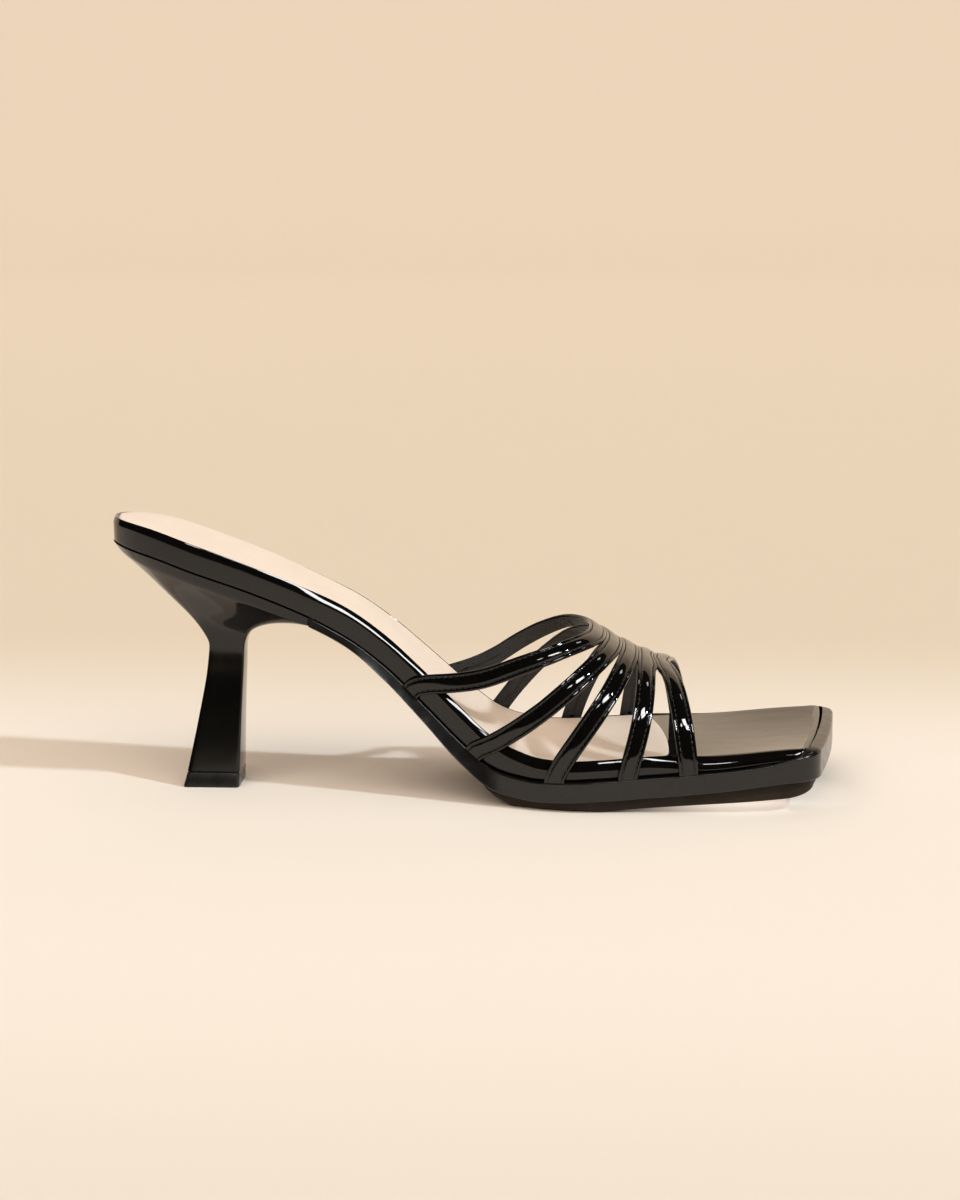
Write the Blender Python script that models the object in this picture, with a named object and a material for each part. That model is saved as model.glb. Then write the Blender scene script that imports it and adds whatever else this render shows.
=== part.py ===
"""Square-toe heeled mule with a five-strap patent upper: a right shoe at its real size.

Blender works in metres. +X runs to the toe, -Y is the lateral (outer) side and +Z is up.
The origin is the bottom centre of the shoe's box, on the floor that it stands on.
"""

from collections import namedtuple
from math import cos, pi, radians, sin, sqrt

import bmesh
import bpy
from mathutils import Vector

MM = 0.001

# Driving sizes of the shoe, in millimetres
LENGTH = 233.0
HEEL_BACK = -LENGTH / 2
TOE_FRONT = LENGTH / 2
JOINT_GAP = 0.3
EDGE_ROLL = 1.6
SOLE_LEDGE = 2.0
SOCK_THICKNESS = 0.8
LIP_WIDTH = 3.4
LIP_GAP = 0.6
TOP_LIFT_HEIGHT = 5.0

# Sizes of the five straps, in millimetres and degrees around the last
STRAP_WALL = 1.6
STRAP_WIDTH = 6.2
STRAP_CLEARANCE = 0.4
STRAP_JOIN_ANGLE = 11.0
STRAP_OPEN_ANGLE = 8.0
STRAP_ROW_ANGLE = 3.75
STRAP_MERGE = 0.2
WIDEST_STRAP_END = 4.3

# How full the last is between its sides and its crown: 2 is an ellipse, more is squarer
LAST_FULLNESS = 2.6

# The heel end is a rounded outline about this station
HEEL_CENTRE = -84.0
HEEL_ROUNDNESS = 2.4

# One row for each section, from the back of the heel to the toe, in millimetres: the height
# of the footbed's top edge, the depths of the footbed's and the sole's sides, the footbed's
# half widths on the lateral and the medial side, and the share of the sole's ledge past it
Section = namedtuple("Section", "x top footbed sole lateral medial ledge")
SECTIONS = (
    Section(-116.5, 87.5, 7.1, 2.4, 22.3, 22.3, 0.0),
    Section(-103.0, 84.9, 7.9, 2.4, 22.3, 22.3, 0.0),
    Section(-88.0, 79.9, 8.0, 2.4, 22.3, 22.3, 0.0),
    Section(-70.0, 73.3, 7.7, 2.4, 21.7, 21.3, 0.0),
    Section(-54.0, 66.5, 7.6, 2.7, 20.6, 19.4, 0.0),
    Section(-40.0, 59.7, 8.1, 2.9, 20.4, 18.2, 0.25),
    Section(-28.0, 51.4, 8.5, 4.2, 21.2, 18.8, 0.8),
    Section(-16.0, 40.8, 9.1, 5.3, 23.0, 21.0, 1.0),
    Section(-4.0, 29.5, 9.3, 6.6, 26.0, 24.2, 1.0),
    Section(6.0, 21.0, 8.5, 6.6, 29.5, 29.0, 1.0),
    Section(14.0, 17.0, 6.8, 6.3, 32.6, 33.5, 1.0),
    Section(22.0, 15.0, 5.5, 6.3, 35.8, 36.8, 1.0),
    Section(30.0, 14.6, 4.8, 6.3, 38.0, 38.6, 1.0),
    Section(40.0, 15.2, 4.7, 6.3, 38.8, 38.8, 1.0),
    Section(60.0, 16.8, 4.8, 6.3, 37.8, 37.8, 1.0),
    Section(80.0, 18.1, 4.1, 6.3, 37.6, 37.6, 1.0),
    Section(100.0, 20.0, 3.4, 6.3, 36.6, 36.8, 1.0),
    Section(116.5, 21.1, 3.0, 6.3, 35.8, 36.2, 1.0),
)

# Height of the last's crown along the vamp and the instep behind it, in millimetres
Crown = namedtuple("Crown", "x height")
CROWN = (
    Crown(-30.0, 78.7),
    Crown(-6.0, 70.2),
    Crown(9.0, 64.2),
    Crown(21.0, 58.7),
    Crown(35.5, 52.4),
    Crown(47.0, 45.7),
    Crown(57.0, 41.4),
    Crown(64.0, 39.4),
    Crown(75.0, 37.0),
)

# One row for each strap from the back: where its middle crosses the crown, where it meets the
# sole on each side, how late it sweeps there on each side (1 is an even sweep), and how far its
# lateral end bows towards (+) or away from (-) its foot
Strap = namedtuple("Strap", "crown lateral lateral_sweep lateral_bow medial medial_sweep")
STRAPS = (
    Strap(38.5, -19.3, 2.1, 0.7, -13.8, 1.67),
    Strap(44.1, 0.9, 2.0, -1.0, 3.4, 1.6),
    Strap(49.3, 26.6, 1.9, -1.05, 29.0, 1.5),
    Strap(54.6, 49.3, 4.0, 0.0, 48.8, 1.6),
    Strap(58.9, 68.1, 0.6, 0.0, 66.2, 1.0),
)

# Height of the tread's underside, in millimetres: it stands flat under the ball
Tread = namedtuple("Tread", "x bottom")
TREAD = (
    Tread(4.0, 5.4),
    Tread(8.0, 2.2),
    Tread(14.0, 0.0),
    Tread(40.0, 0.0),
    Tread(50.0, 0.7),
    Tread(70.0, 2.1),
    Tread(97.0, 4.1),
    Tread(105.0, 5.4),
    Tread(113.0, 8.2),
)
TREAD_INSET = 2.4
TREAD_BEVEL = 2.6
TREAD_BEVEL_RISE = 1.2

# One row for each section of the heel below its seat, in millimetres: the ends of its middle
# line, its half width and the squareness of its back and front corners
HeelSection = namedtuple("HeelSection", "back_x back_z front_x front_z half_width back front")
HEEL_SECTIONS = (
    HeelSection(-114.6, 77.4, -52.2, 55.2, 20.4, 2.4, 120.0),
    HeelSection(-108.1, 71.9, -58.6, 55.0, 17.0, 2.6, 10.0),
    HeelSection(-101.7, 65.5, -65.4, 54.1, 13.5, 3.0, 8.0),
    HeelSection(-95.4, 59.5, -69.9, 52.5, 10.4, 4.0, 9.0),
    HeelSection(-90.8, 54.8, -72.4, 50.8, 7.2, 6.0, 10.0),
    HeelSection(-87.8, 50.4, -73.7, 48.5, 5.5, 9.0, 12.0),
    HeelSection(-85.9, 46.0, -74.4, 45.2, 4.9, 14.0, 16.0),
    HeelSection(-86.6, 38.0, -74.7, 38.0, 5.3, 16.0, 18.0),
    HeelSection(-89.3, 23.0, -75.4, 23.0, 6.7, 18.0, 20.0),
    HeelSection(-93.0, TOP_LIFT_HEIGHT + JOINT_GAP, -76.0, TOP_LIFT_HEIGHT + JOINT_GAP, 8.5, 20.0, 20.0),
)
HEEL_FRONT = -52.0
HEEL_STEPS = 3
HEEL_POINTS = 22

# How far the top piece's foot stands out past the heel at its back, its front and its sides
TIP_FLARE_BACK = 1.4
TIP_FLARE_FRONT = -0.2
TIP_FLARE_SIDE = 0.4

# The ends of a flat outline: its back, the middle of its front edge, how far it stands out from
# the footbed's side, with how much of the ledge, the slant and bow of its front edge and the
# radius of its front corners
Outline = namedtuple("Outline", "back front grow ledge slant bow corner")
TOE_SLANT = 3.4
TOE_BOW = 1.0
TOE_MIDDLE = TOE_FRONT - TOE_SLANT + TOE_BOW
BOARD_FRONT = TOE_MIDDLE - LIP_WIDTH - LIP_GAP
SOCK_INSET = EDGE_ROLL + JOINT_GAP
FOOTBED = Outline(HEEL_BACK, BOARD_FRONT, 0.0, 0.0, TOE_SLANT, TOE_BOW, 5.0)
SOLE = Outline(HEEL_FRONT + JOINT_GAP, TOE_MIDDLE, 0.0, 1.0, TOE_SLANT, TOE_BOW, 9.0)
TREAD_EDGE = Outline(TREAD[0].x, TOE_MIDDLE - TREAD_INSET, -TREAD_INSET, 1.0, TOE_SLANT, TOE_BOW, 9.0)
SOCK = Outline(HEEL_BACK + SOCK_INSET, 61.0, -SOCK_INSET, 0.0, -2.4, 1.4, 9.0)
FRONT_BLEND = 40.0

# Sections stand on one even grid, and closer together at these angles around rounded ends
GRID_STEP = 4.0
HEEL_ANGLES = (4, 9, 15, 22, 30, 40, 52, 65, 78)
CORNER_ANGLES = (0, 20, 40, 58, 74, 90)

# The sole's rim stays level with its ledge up to here, then rises towards the footbed's top
RIM_START = 91.0
RIM_END = 126.0

# A place across a flat piece: its side from -1 to 1, how far it lies in from the edge and how
# much of the edge's step or roll it takes
Across = namedtuple("Across", "side inset level")
HALF_ROLL = 1 - sqrt(0.5)


def smooth(at, xs, ys):
    """Return the value at one place of a smooth curve that never overshoots its table."""
    last = len(xs) - 1
    if at <= xs[0]:
        return ys[0]
    if at >= xs[last]:
        return ys[last]
    i = next(k for k in range(last) if at <= xs[k + 1])
    steps = [(ys[k + 1] - ys[k]) / (xs[k + 1] - xs[k]) for k in range(last)]

    def slope(k):
        if k in (0, last):
            return steps[min(k, last - 1)]
        before, after = steps[k - 1], steps[k]
        return 2 * before * after / (before + after) if before * after > 0 else 0.0

    span = xs[i + 1] - xs[i]
    f = (at - xs[i]) / span
    rise = f * f * (3 - 2 * f)
    start = f * (1 - f) ** 2 * slope(i) * span
    end = f * f * (f - 1) * slope(i + 1) * span
    return ys[i] + (ys[i + 1] - ys[i]) * rise + start + end


def column(rows, name):
    """Return a table's column as a function of the place along the shoe."""
    xs = [row.x for row in rows]
    ys = [getattr(row, name) for row in rows]
    return lambda x: smooth(x, xs, ys)


top = column(SECTIONS, "top")
footbed_depth = column(SECTIONS, "footbed")
sole_depth = column(SECTIONS, "sole")
lateral = column(SECTIONS, "lateral")
medial = column(SECTIONS, "medial")
ledge = column(SECTIONS, "ledge")
crown = column(CROWN, "height")
tread_bottom = column(TREAD, "bottom")


def joint(x):
    """Height of the line where the footbed meets the sole or the heel."""
    return top(x) - footbed_depth(x)


def sole_bottom(x):
    return joint(x) - JOINT_GAP - sole_depth(x)


def ramp(value):
    """Ease from 0 to 1."""
    value = min(max(value, 0.0), 1.0)
    return value * value * (3 - 2 * value)


def half_width(outline, s, side, inset):
    """Half width of an outline at a station, on the lateral (-1) or the medial (+1) side."""
    width = (lateral(s) if side < 0 else medial(s)) + outline.grow - inset
    width += outline.ledge * SOLE_LEDGE * ledge(s)
    if s < HEEL_CENTRE:
        u = (HEEL_CENTRE - s) / (HEEL_CENTRE - outline.back)
        width *= max(1 - u ** HEEL_ROUNDNESS, 0.0) ** (1 / HEEL_ROUNDNESS)
    into_corner = s - (outline.front - outline.corner)
    if into_corner > 0:
        width -= outline.corner - sqrt(max(outline.corner ** 2 - into_corner ** 2, 0.0))
    return width


def plan(outline, s, across):
    """Place a point of an outline on the plan; its front edge is slanted and bowed."""
    side = across.side
    lead = outline.slant * side - outline.bow * side * side
    x = s + lead * ramp((s - outline.front + FRONT_BLEND) / FRONT_BLEND)
    return x, side * half_width(outline, s, side, across.inset)


def stations(outline, round_back=False):
    """Sections along an outline: on one even grid, and closer together at its rounded ends."""
    back_end, front_end = outline.back, outline.front - outline.corner
    places = [back_end]
    if round_back:
        arc = HEEL_CENTRE - outline.back
        places = [HEEL_CENTRE - arc * cos(radians(a)) for a in HEEL_ANGLES]
        back_end = HEEL_CENTRE - GRID_STEP / 2
    half = round(TOE_FRONT / GRID_STEP)
    grid = [GRID_STEP * i for i in range(-half, half + 1)]
    clear = GRID_STEP / 4
    places += [s for s in grid if back_end + clear < s < front_end - clear]
    places += [front_end + outline.corner * sin(radians(a)) for a in CORNER_ANGLES]
    return places


def material(name, colour, roughness, metallic=0.0):
    mat = bpy.data.materials.new(name)
    mat.use_nodes = True
    shader = mat.node_tree.nodes["Principled BSDF"]
    shader.inputs["Base Color"].default_value = (*colour, 1.0)
    shader.inputs["Roughness"].default_value = roughness
    shader.inputs["Metallic"].default_value = metallic
    return mat


def add_object(name, bm, mat, sharp_angle=35):
    """Turn a finished bmesh into a named object with its faces out and its curves smooth."""
    bmesh.ops.recalc_face_normals(bm, faces=bm.faces)
    mesh = bpy.data.meshes.new(name)
    bm.to_mesh(mesh)
    bm.free()
    mesh.materials.append(mat)
    mesh.shade_smooth()
    mesh.set_sharp_from_angle(angle=radians(sharp_angle))
    obj = bpy.data.objects.new(name, mesh)
    bpy.context.scene.collection.objects.link(obj)
    return obj


def loft(name, sections, mat):
    """Close a solid over sections, each a pair of chains of points along its two sides.

    The second chain is as long as the first, or leaves out both ends where they meet in points.
    """
    bm = bmesh.new()
    rings = []
    caps = []
    for first, second in sections:
        a = [bm.verts.new([c * MM for c in p]) for p in first]
        b = [bm.verts.new([c * MM for c in p]) for p in second]
        rings.append(a + b[::-1])
        caps.append((a, b if len(b) == len(a) else [a[0], *b, a[-1]]))
    for ring, after in zip(rings, rings[1:]):
        for i in range(len(ring)):
            j = (i + 1) % len(ring)
            bm.faces.new((ring[i], ring[j], after[j], after[i]))
    for a, b in (caps[0], caps[-1]):
        for i in range(len(a) - 1):
            bm.faces.new(dict.fromkeys((a[i], a[i + 1], b[i + 1], b[i])))
    return add_object(name, bm, mat)


def slab(name, outline, places, chain, upper, lower, mat):
    """Loft a flat piece between its upper and its lower face."""
    sections = []
    for s in places:
        low, high = [], []
        for across in chain:
            x, y = plan(outline, s, across)
            low.append((x, y, lower(x, across.level)))
            high.append((x, y, upper(x, s, across.level)))
        sections.append((low, high))
    return loft(name, sections, mat)


def mirrored(edge, middle=(-0.7, -0.35, 0.0, 0.35, 0.7)):
    """Repeat an edge's places, given from the outside in, on both sides of a piece."""
    left = [Across(-1.0, inset, level) for inset, level in edge]
    inner = [Across(side, edge[-1][0], edge[-1][1]) for side in middle]
    right = [Across(1.0, inset, level) for inset, level in reversed(edge)]
    return left + inner + right


def make_footbed(mat):
    """The wrapped insole board: patent over its rounded edge, with a square front edge."""
    edge = ((0.0, 1.0), (HALF_ROLL * EDGE_ROLL, HALF_ROLL), (EDGE_ROLL, 0.0))

    def upper(x, s, level):
        into_roll = max(EDGE_ROLL - (s - FOOTBED.back), 0.0)
        end_roll = EDGE_ROLL - sqrt(max(EDGE_ROLL ** 2 - into_roll ** 2, 0.0))
        return top(x) - max(level * EDGE_ROLL, end_roll)

    def lower(x, level):
        return joint(x)

    return slab("footbed", FOOTBED, stations(FOOTBED, True), mirrored(edge), upper, lower, mat)


def make_sock(mat):
    """The sock lining, laid on the footbed from the heel to behind the toes."""
    edge = ((0.0, 0.0), (1.0, 0.0))

    def lower(x, level):
        return top(x) + JOINT_GAP

    def upper(x, s, level):
        return lower(x, level) + SOCK_THICKNESS

    return slab("sock", SOCK, stations(SOCK, True), mirrored(edge), upper, lower, mat)


def make_sole(mat):
    """The sole under the waist and forefoot, with a rim that rises to a lip at the toe."""
    rim = SOLE_LEDGE - JOINT_GAP
    edge = ((0.0, 1.0), (rim, 1.0), (rim + JOINT_GAP / 2, 0.0))
    lip_back = SOLE.front - LIP_WIDTH

    def upper(x, s, level):
        floor = joint(x) - JOINT_GAP
        rim_share = ramp((s - RIM_START) / (RIM_END - RIM_START))
        lip_share = 1.0 if s >= lip_back else 0.0
        return floor + (top(x) - floor) * (rim_share if level else lip_share)

    def lower(x, level):
        return sole_bottom(x)

    places = [s for s in stations(SOLE) if abs(s - lip_back) > LIP_GAP]
    places = sorted(places + [lip_back - JOINT_GAP / 2, lip_back])
    return slab("sole", SOLE, places, mirrored(edge), upper, lower, mat)


def make_tread(mat):
    """The thin tread under the forefoot, set in from the sole's edge and bevelled below."""
    edge = ((0.0, 1.0), (TREAD_BEVEL, 0.0))

    def upper(x, s, level):
        return sole_bottom(x) - JOINT_GAP

    def lower(x, level):
        thickness = upper(x, x, level) - tread_bottom(x)
        return tread_bottom(x) + level * min(TREAD_BEVEL_RISE, thickness / 2)

    flat = [row.x for row in TREAD if row.bottom == 0.0]
    places = [s for s in stations(TREAD_EDGE) if min(abs(s - f) for f in flat) > 1.0]
    return slab("tread", TREAD_EDGE, sorted(places + flat), mirrored(edge), upper, lower, mat)


def heel_chain(back, front, width, back_square, front_square):
    """The lateral and medial points of one heel section, from its back to its front."""
    halves = []
    for i in range(HEEL_POINTS + 1):
        u = -cos(pi * i / HEEL_POINTS)
        square = back_square if u < 0 else front_square
        share = max(1 - abs(u) ** square, 0.0) ** (1 / square)
        x = back[0] + (front[0] - back[0]) * (1 + u) / 2
        z = back[1] + (front[1] - back[1]) * (1 + u) / 2
        halves.append((x, width * share, z))
    return halves


def seat_chain(drop):
    """The heel's seat: the footbed's own outline, cut straight across at the front."""
    front_square = HEEL_SECTIONS[0].front
    points = []
    for i in range(HEEL_POINTS + 1):
        u = -cos(pi * i / HEEL_POINTS)
        s = HEEL_BACK + (HEEL_FRONT - HEEL_BACK) * (1 + u) / 2
        share = max(1 - max(u, 0.0) ** front_square, 0.0) ** (1 / front_square)
        points.append((s, half_width(FOOTBED, s, -1, 0.0) * share, joint(s) - drop))
    return points


def two_sided(points):
    """Make a section's two chains from the points of its lateral half."""
    near = [(x, -y, z) for x, y, z in points]
    far = [(x, y, z) for x, y, z in points[1:-1]]
    return near, far


def make_heel(mat):
    """The flared heel: a wide cup under the seat, a slim neck and a widening column."""
    rows = [seat_chain(JOINT_GAP)]
    for row in HEEL_SECTIONS:
        back, front = (row.back_x, row.back_z), (row.front_x, row.front_z)
        rows.append(heel_chain(back, front, row.half_width, row.back, row.front))
    order = list(range(len(rows)))
    sections = []
    for step in range((len(rows) - 1) * HEEL_STEPS + 1):
        at = step / HEEL_STEPS
        points = []
        for i in range(HEEL_POINTS + 1):
            points.append([smooth(at, order, [row[i][axis] for row in rows]) for axis in range(3)])
        sections.append(two_sided(points))
    return loft("heel", sections, mat)


def make_top_lift(mat):
    """The flared top piece that the heel stands on."""
    foot = HEEL_SECTIONS[-1]
    sections = []
    for z, flare in ((TOP_LIFT_HEIGHT, 0.0), (0.0, 1.0)):
        back = (foot.back_x - TIP_FLARE_BACK * flare, z)
        front = (foot.front_x + TIP_FLARE_FRONT * flare, z)
        width = foot.half_width + TIP_FLARE_SIDE * flare
        sections.append(two_sided(heel_chain(back, front, width, foot.back, foot.front)))
    return loft("top_lift", sections, mat)


def last_point(x, angle):
    """A point of the last's surface: -90 degrees is the lateral edge, 0 the crown."""
    side = -1 if angle < 0 else 1
    width = (lateral(x) if side < 0 else medial(x)) + STRAP_CLEARANCE
    around = radians(min(abs(angle), 90.0))
    out = max(sin(around), 0.0) ** (2 / LAST_FULLNESS)
    up = max(cos(around), 0.0) ** (2 / LAST_FULLNESS)
    base = joint(x) + STRAP_CLEARANCE
    return Vector((x, side * width * out, base + (crown(x) - base) * up))


def strap_middle(strap, angle):
    """Where a strap's middle line lies along the shoe at an angle around the last."""
    down = abs(angle) / 90.0
    if angle > 0:
        return strap.crown + (strap.medial - strap.crown) * down ** strap.medial_sweep
    share = down ** strap.lateral_sweep + strap.lateral_bow * down ** 3 * (1 - down)
    return strap.crown + (strap.lateral - strap.crown) * share


def strap_reach(strap, angle):
    """Half a strap's width, measured along the shoe, so that the strap keeps its width."""
    small = 0.5
    before = max(angle - small, -90.0)
    after = min(angle + small, 90.0)
    run = last_point(strap_middle(strap, after), after) - last_point(strap_middle(strap, before), before)
    x = strap_middle(strap, angle)
    along = last_point(x + small, angle) - last_point(x - small, angle)
    across = along - run * (along.dot(run) / run.dot(run))
    return min(STRAP_WIDTH / 2 / across.length, WIDEST_STRAP_END)


def strap_edges(angle):
    """The back and front edge of every strap at one angle; joined straps share an edge."""
    edges = []
    for strap in STRAPS:
        x, reach = strap_middle(strap, angle), strap_reach(strap, angle)
        edges.append([x - reach, x + reach])
    opened = ramp((abs(angle) - STRAP_JOIN_ANGLE) / STRAP_OPEN_ANGLE)
    for strap, after in zip(edges, edges[1:]):
        middle = (strap[1] + after[0]) / 2
        gap = max(after[0] - strap[1], 0.0) * opened
        strap[1], after[0] = middle - gap / 2, middle + gap / 2
    return edges


def make_upper(mat):
    """Five straps that fan out from the vamp's crown, joined there into one wall."""
    bm = bmesh.new()
    rows = round(180.0 / STRAP_ROW_ANGLE)
    before = None
    for row in range(rows + 1):
        angle = -90.0 + 180.0 * row / rows
        verts = []
        shared = None
        for back, front in strap_edges(angle):
            places = (back, (back + front) / 2, front)
            strap = [bm.verts.new(last_point(x, angle) * MM) for x in places[1:]]
            start = last_point(back, angle) * MM
            joined = shared is not None and (shared.co - start).length < STRAP_MERGE * MM
            strap.insert(0, shared if joined else bm.verts.new(start))
            shared = strap[-1]
            verts.append(strap)
        if before:
            for strap, earlier in zip(verts, before):
                for i in range(2):
                    bm.faces.new((earlier[i], earlier[i + 1], strap[i + 1], strap[i]))
        before = verts
    upper = add_object("upper", bm, mat)
    wall = upper.modifiers.new("wall", "SOLIDIFY")
    wall.thickness = STRAP_WALL * MM
    wall.offset = 1.0
    wall.use_even_offset = True
    return upper


def main():
    for obj in list(bpy.data.objects):
        bpy.data.objects.remove(obj)
    patent = material("black_patent", (0.012, 0.011, 0.010), 0.08)
    make_footbed(material("footbed_patent", (0.012, 0.011, 0.010), 0.12))
    make_sock(material("sock_lining", (0.82, 0.62, 0.47), 0.6))
    make_sole(material("sole_satin", (0.026, 0.023, 0.021), 0.42))
    make_tread(material("tread_rubber", (0.012, 0.009, 0.006), 0.7))
    make_heel(material("heel_gloss", (0.014, 0.012, 0.010), 0.15))
    make_top_lift(material("top_lift_plastic", (0.014, 0.012, 0.011), 0.35))
    make_upper(patent)


main()
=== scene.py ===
"""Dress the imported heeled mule: footbed, sock, sole, tread, heel, stitched patent straps and a stage."""

from bisect import bisect_right
from collections import namedtuple
from math import cos, exp, pi, radians, sin, sqrt

import bmesh
import bpy
from bpy.props import FloatProperty, FloatVectorProperty, PointerProperty
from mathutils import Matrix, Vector


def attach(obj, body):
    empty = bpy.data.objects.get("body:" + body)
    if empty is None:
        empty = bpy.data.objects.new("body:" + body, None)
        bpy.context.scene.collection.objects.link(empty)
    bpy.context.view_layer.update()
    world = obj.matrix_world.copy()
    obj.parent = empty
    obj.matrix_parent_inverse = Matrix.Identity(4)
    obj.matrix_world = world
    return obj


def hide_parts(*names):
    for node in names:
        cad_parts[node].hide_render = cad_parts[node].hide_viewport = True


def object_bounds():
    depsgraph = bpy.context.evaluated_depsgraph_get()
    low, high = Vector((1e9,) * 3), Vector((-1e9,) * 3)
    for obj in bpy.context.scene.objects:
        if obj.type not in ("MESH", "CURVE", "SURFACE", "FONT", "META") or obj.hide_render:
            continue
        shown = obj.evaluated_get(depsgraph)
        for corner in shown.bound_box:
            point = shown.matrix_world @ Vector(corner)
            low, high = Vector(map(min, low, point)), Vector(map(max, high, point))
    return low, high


bl_info = {
    "name": "Heeled mule",
    "version": (1, 0, 0),
    "blender": (4, 5, 0),
    "location": "View3D > Sidebar > Mule",
    "description": "Builds the finished pieces of a strapped mule around its packed solids",
    "category": "Object",
}

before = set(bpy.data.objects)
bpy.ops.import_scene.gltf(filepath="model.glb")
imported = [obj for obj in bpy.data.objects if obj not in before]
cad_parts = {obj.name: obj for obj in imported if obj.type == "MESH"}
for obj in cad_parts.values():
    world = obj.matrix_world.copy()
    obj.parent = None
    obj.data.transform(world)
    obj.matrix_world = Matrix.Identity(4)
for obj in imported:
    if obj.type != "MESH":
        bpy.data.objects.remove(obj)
CAD_LOW, CAD_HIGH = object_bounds()

MM = 0.001
BODY = "root"

# Fits of the shoe as its solids have them, lengths in metres and angles in degrees, and the smaller
# gap that the finished pieces keep where one is laid on another
HEEL_BACK = CAD_LOW.x
TOE_FRONT = CAD_HIGH.x
JOINT_GAP = 0.3 * MM
LAID_GAP = JOINT_GAP / 6
SOLE_LEDGE = 2.0 * MM
LIP_WIDTH = 3.4 * MM
LIP_GAP = 0.6 * MM
STRAP_CLEARANCE = 0.4 * MM
STRAP_JOIN_ANGLE = 11.0
STRAP_OPEN_ANGLE = 8.0
WIDEST_STRAP_END = 4.3 * MM
LAST_FULLNESS = 2.6
HEEL_CENTRE = -84.0 * MM
HEEL_ROUNDNESS = 2.4
HEEL_FRONT = -52.0 * MM
TOP_LIFT_HEIGHT = 5.0 * MM

# One row for each section, from the back of the heel to the toe, in millimetres: the height
# of the footbed's top edge, the depths of the footbed's and the sole's sides, the footbed's
# half widths on the lateral and the medial side, and the share of the sole's ledge past it
Section = namedtuple("Section", "x top footbed sole lateral medial ledge")
SECTIONS = (
    Section(-116.5, 87.5, 7.1, 2.4, 22.3, 22.3, 0.0),
    Section(-103.0, 84.9, 7.9, 2.4, 22.3, 22.3, 0.0),
    Section(-88.0, 79.9, 8.0, 2.4, 22.3, 22.3, 0.0),
    Section(-70.0, 73.3, 7.7, 2.4, 21.7, 21.3, 0.0),
    Section(-54.0, 66.5, 7.6, 2.7, 20.6, 19.4, 0.0),
    Section(-40.0, 59.7, 8.1, 2.9, 20.4, 18.2, 0.25),
    Section(-28.0, 51.4, 8.5, 4.2, 21.2, 18.8, 0.8),
    Section(-16.0, 40.8, 9.1, 5.3, 23.0, 21.0, 1.0),
    Section(-4.0, 29.5, 9.3, 6.6, 26.0, 24.2, 1.0),
    Section(6.0, 21.0, 8.5, 6.6, 29.5, 29.0, 1.0),
    Section(14.0, 17.0, 6.8, 6.3, 32.6, 33.5, 1.0),
    Section(22.0, 15.0, 5.5, 6.3, 35.8, 36.8, 1.0),
    Section(30.0, 14.6, 4.8, 6.3, 38.0, 38.6, 1.0),
    Section(40.0, 15.2, 4.7, 6.3, 38.8, 38.8, 1.0),
    Section(60.0, 16.8, 4.8, 6.3, 37.8, 37.8, 1.0),
    Section(80.0, 18.1, 4.1, 6.3, 37.6, 37.6, 1.0),
    Section(100.0, 20.0, 3.4, 6.3, 36.6, 36.8, 1.0),
    Section(116.5, 21.1, 3.0, 6.3, 35.8, 36.2, 1.0),
)

# Height of the last's crown along the vamp and the instep behind it, in millimetres
Crown = namedtuple("Crown", "x height")
CROWN = (
    Crown(-30.0, 78.7),
    Crown(-6.0, 70.2),
    Crown(9.0, 64.2),
    Crown(21.0, 58.7),
    Crown(35.5, 52.4),
    Crown(47.0, 45.7),
    Crown(57.0, 41.4),
    Crown(64.0, 39.4),
    Crown(75.0, 37.0),
)

# One row for each strap from the back, in millimetres: where its middle crosses the crown, where
# it meets the sole on each side, how late it sweeps there on each side (1 is an even sweep), and
# how far its lateral end bows towards (+) or away from (-) its foot
Strap = namedtuple("Strap", "crown lateral lateral_sweep lateral_bow medial medial_sweep")
STRAPS = (
    Strap(38.5, -19.3, 2.1, 0.7, -13.8, 1.67),
    Strap(44.1, 0.9, 2.0, -1.0, 3.4, 1.6),
    Strap(49.3, 26.6, 1.9, -1.05, 29.0, 1.5),
    Strap(54.6, 49.3, 4.0, 0.0, 48.8, 1.6),
    Strap(58.9, 68.1, 0.6, 0.0, 66.2, 1.0),
)

# Height of the tread's underside, in millimetres: it stands flat under the ball
Tread = namedtuple("Tread", "x bottom")
TREAD = (
    Tread(4.0, 5.4),
    Tread(8.0, 2.2),
    Tread(14.0, 0.0),
    Tread(40.0, 0.0),
    Tread(50.0, 0.7),
    Tread(70.0, 2.1),
    Tread(97.0, 4.1),
    Tread(105.0, 5.4),
    Tread(113.0, 8.2),
)
TREAD_INSET = 2.4 * MM

# One row for each section of the heel below its seat, in millimetres: the ends of its middle
# line, its half width and the squareness of its back and front corners; the first one reaches the
# seat's front, which closes the seam with the sole
HeelSection = namedtuple("HeelSection", "back_x back_z front_x front_z half_width back front")
HEEL_SECTIONS = (
    HeelSection(-114.6, 77.4, -52.0, 55.2, 20.4, 2.4, 120.0),
    HeelSection(-108.1, 71.9, -58.6, 55.0, 17.0, 2.6, 10.0),
    HeelSection(-101.7, 65.5, -65.4, 54.1, 13.5, 3.0, 8.0),
    HeelSection(-95.4, 59.5, -69.9, 52.5, 10.4, 4.0, 9.0),
    HeelSection(-90.8, 54.8, -72.4, 50.8, 7.2, 6.0, 10.0),
    HeelSection(-87.8, 50.4, -73.7, 48.5, 5.5, 9.0, 12.0),
    HeelSection(-85.9, 46.0, -74.4, 45.2, 4.9, 14.0, 16.0),
    HeelSection(-86.6, 38.0, -74.7, 38.0, 5.3, 16.0, 18.0),
    HeelSection(-89.3, 23.0, -75.4, 23.0, 6.7, 18.0, 20.0),
    HeelSection(-93.0, 5.3, -76.0, 5.3, 8.5, 20.0, 20.0),
)

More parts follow.
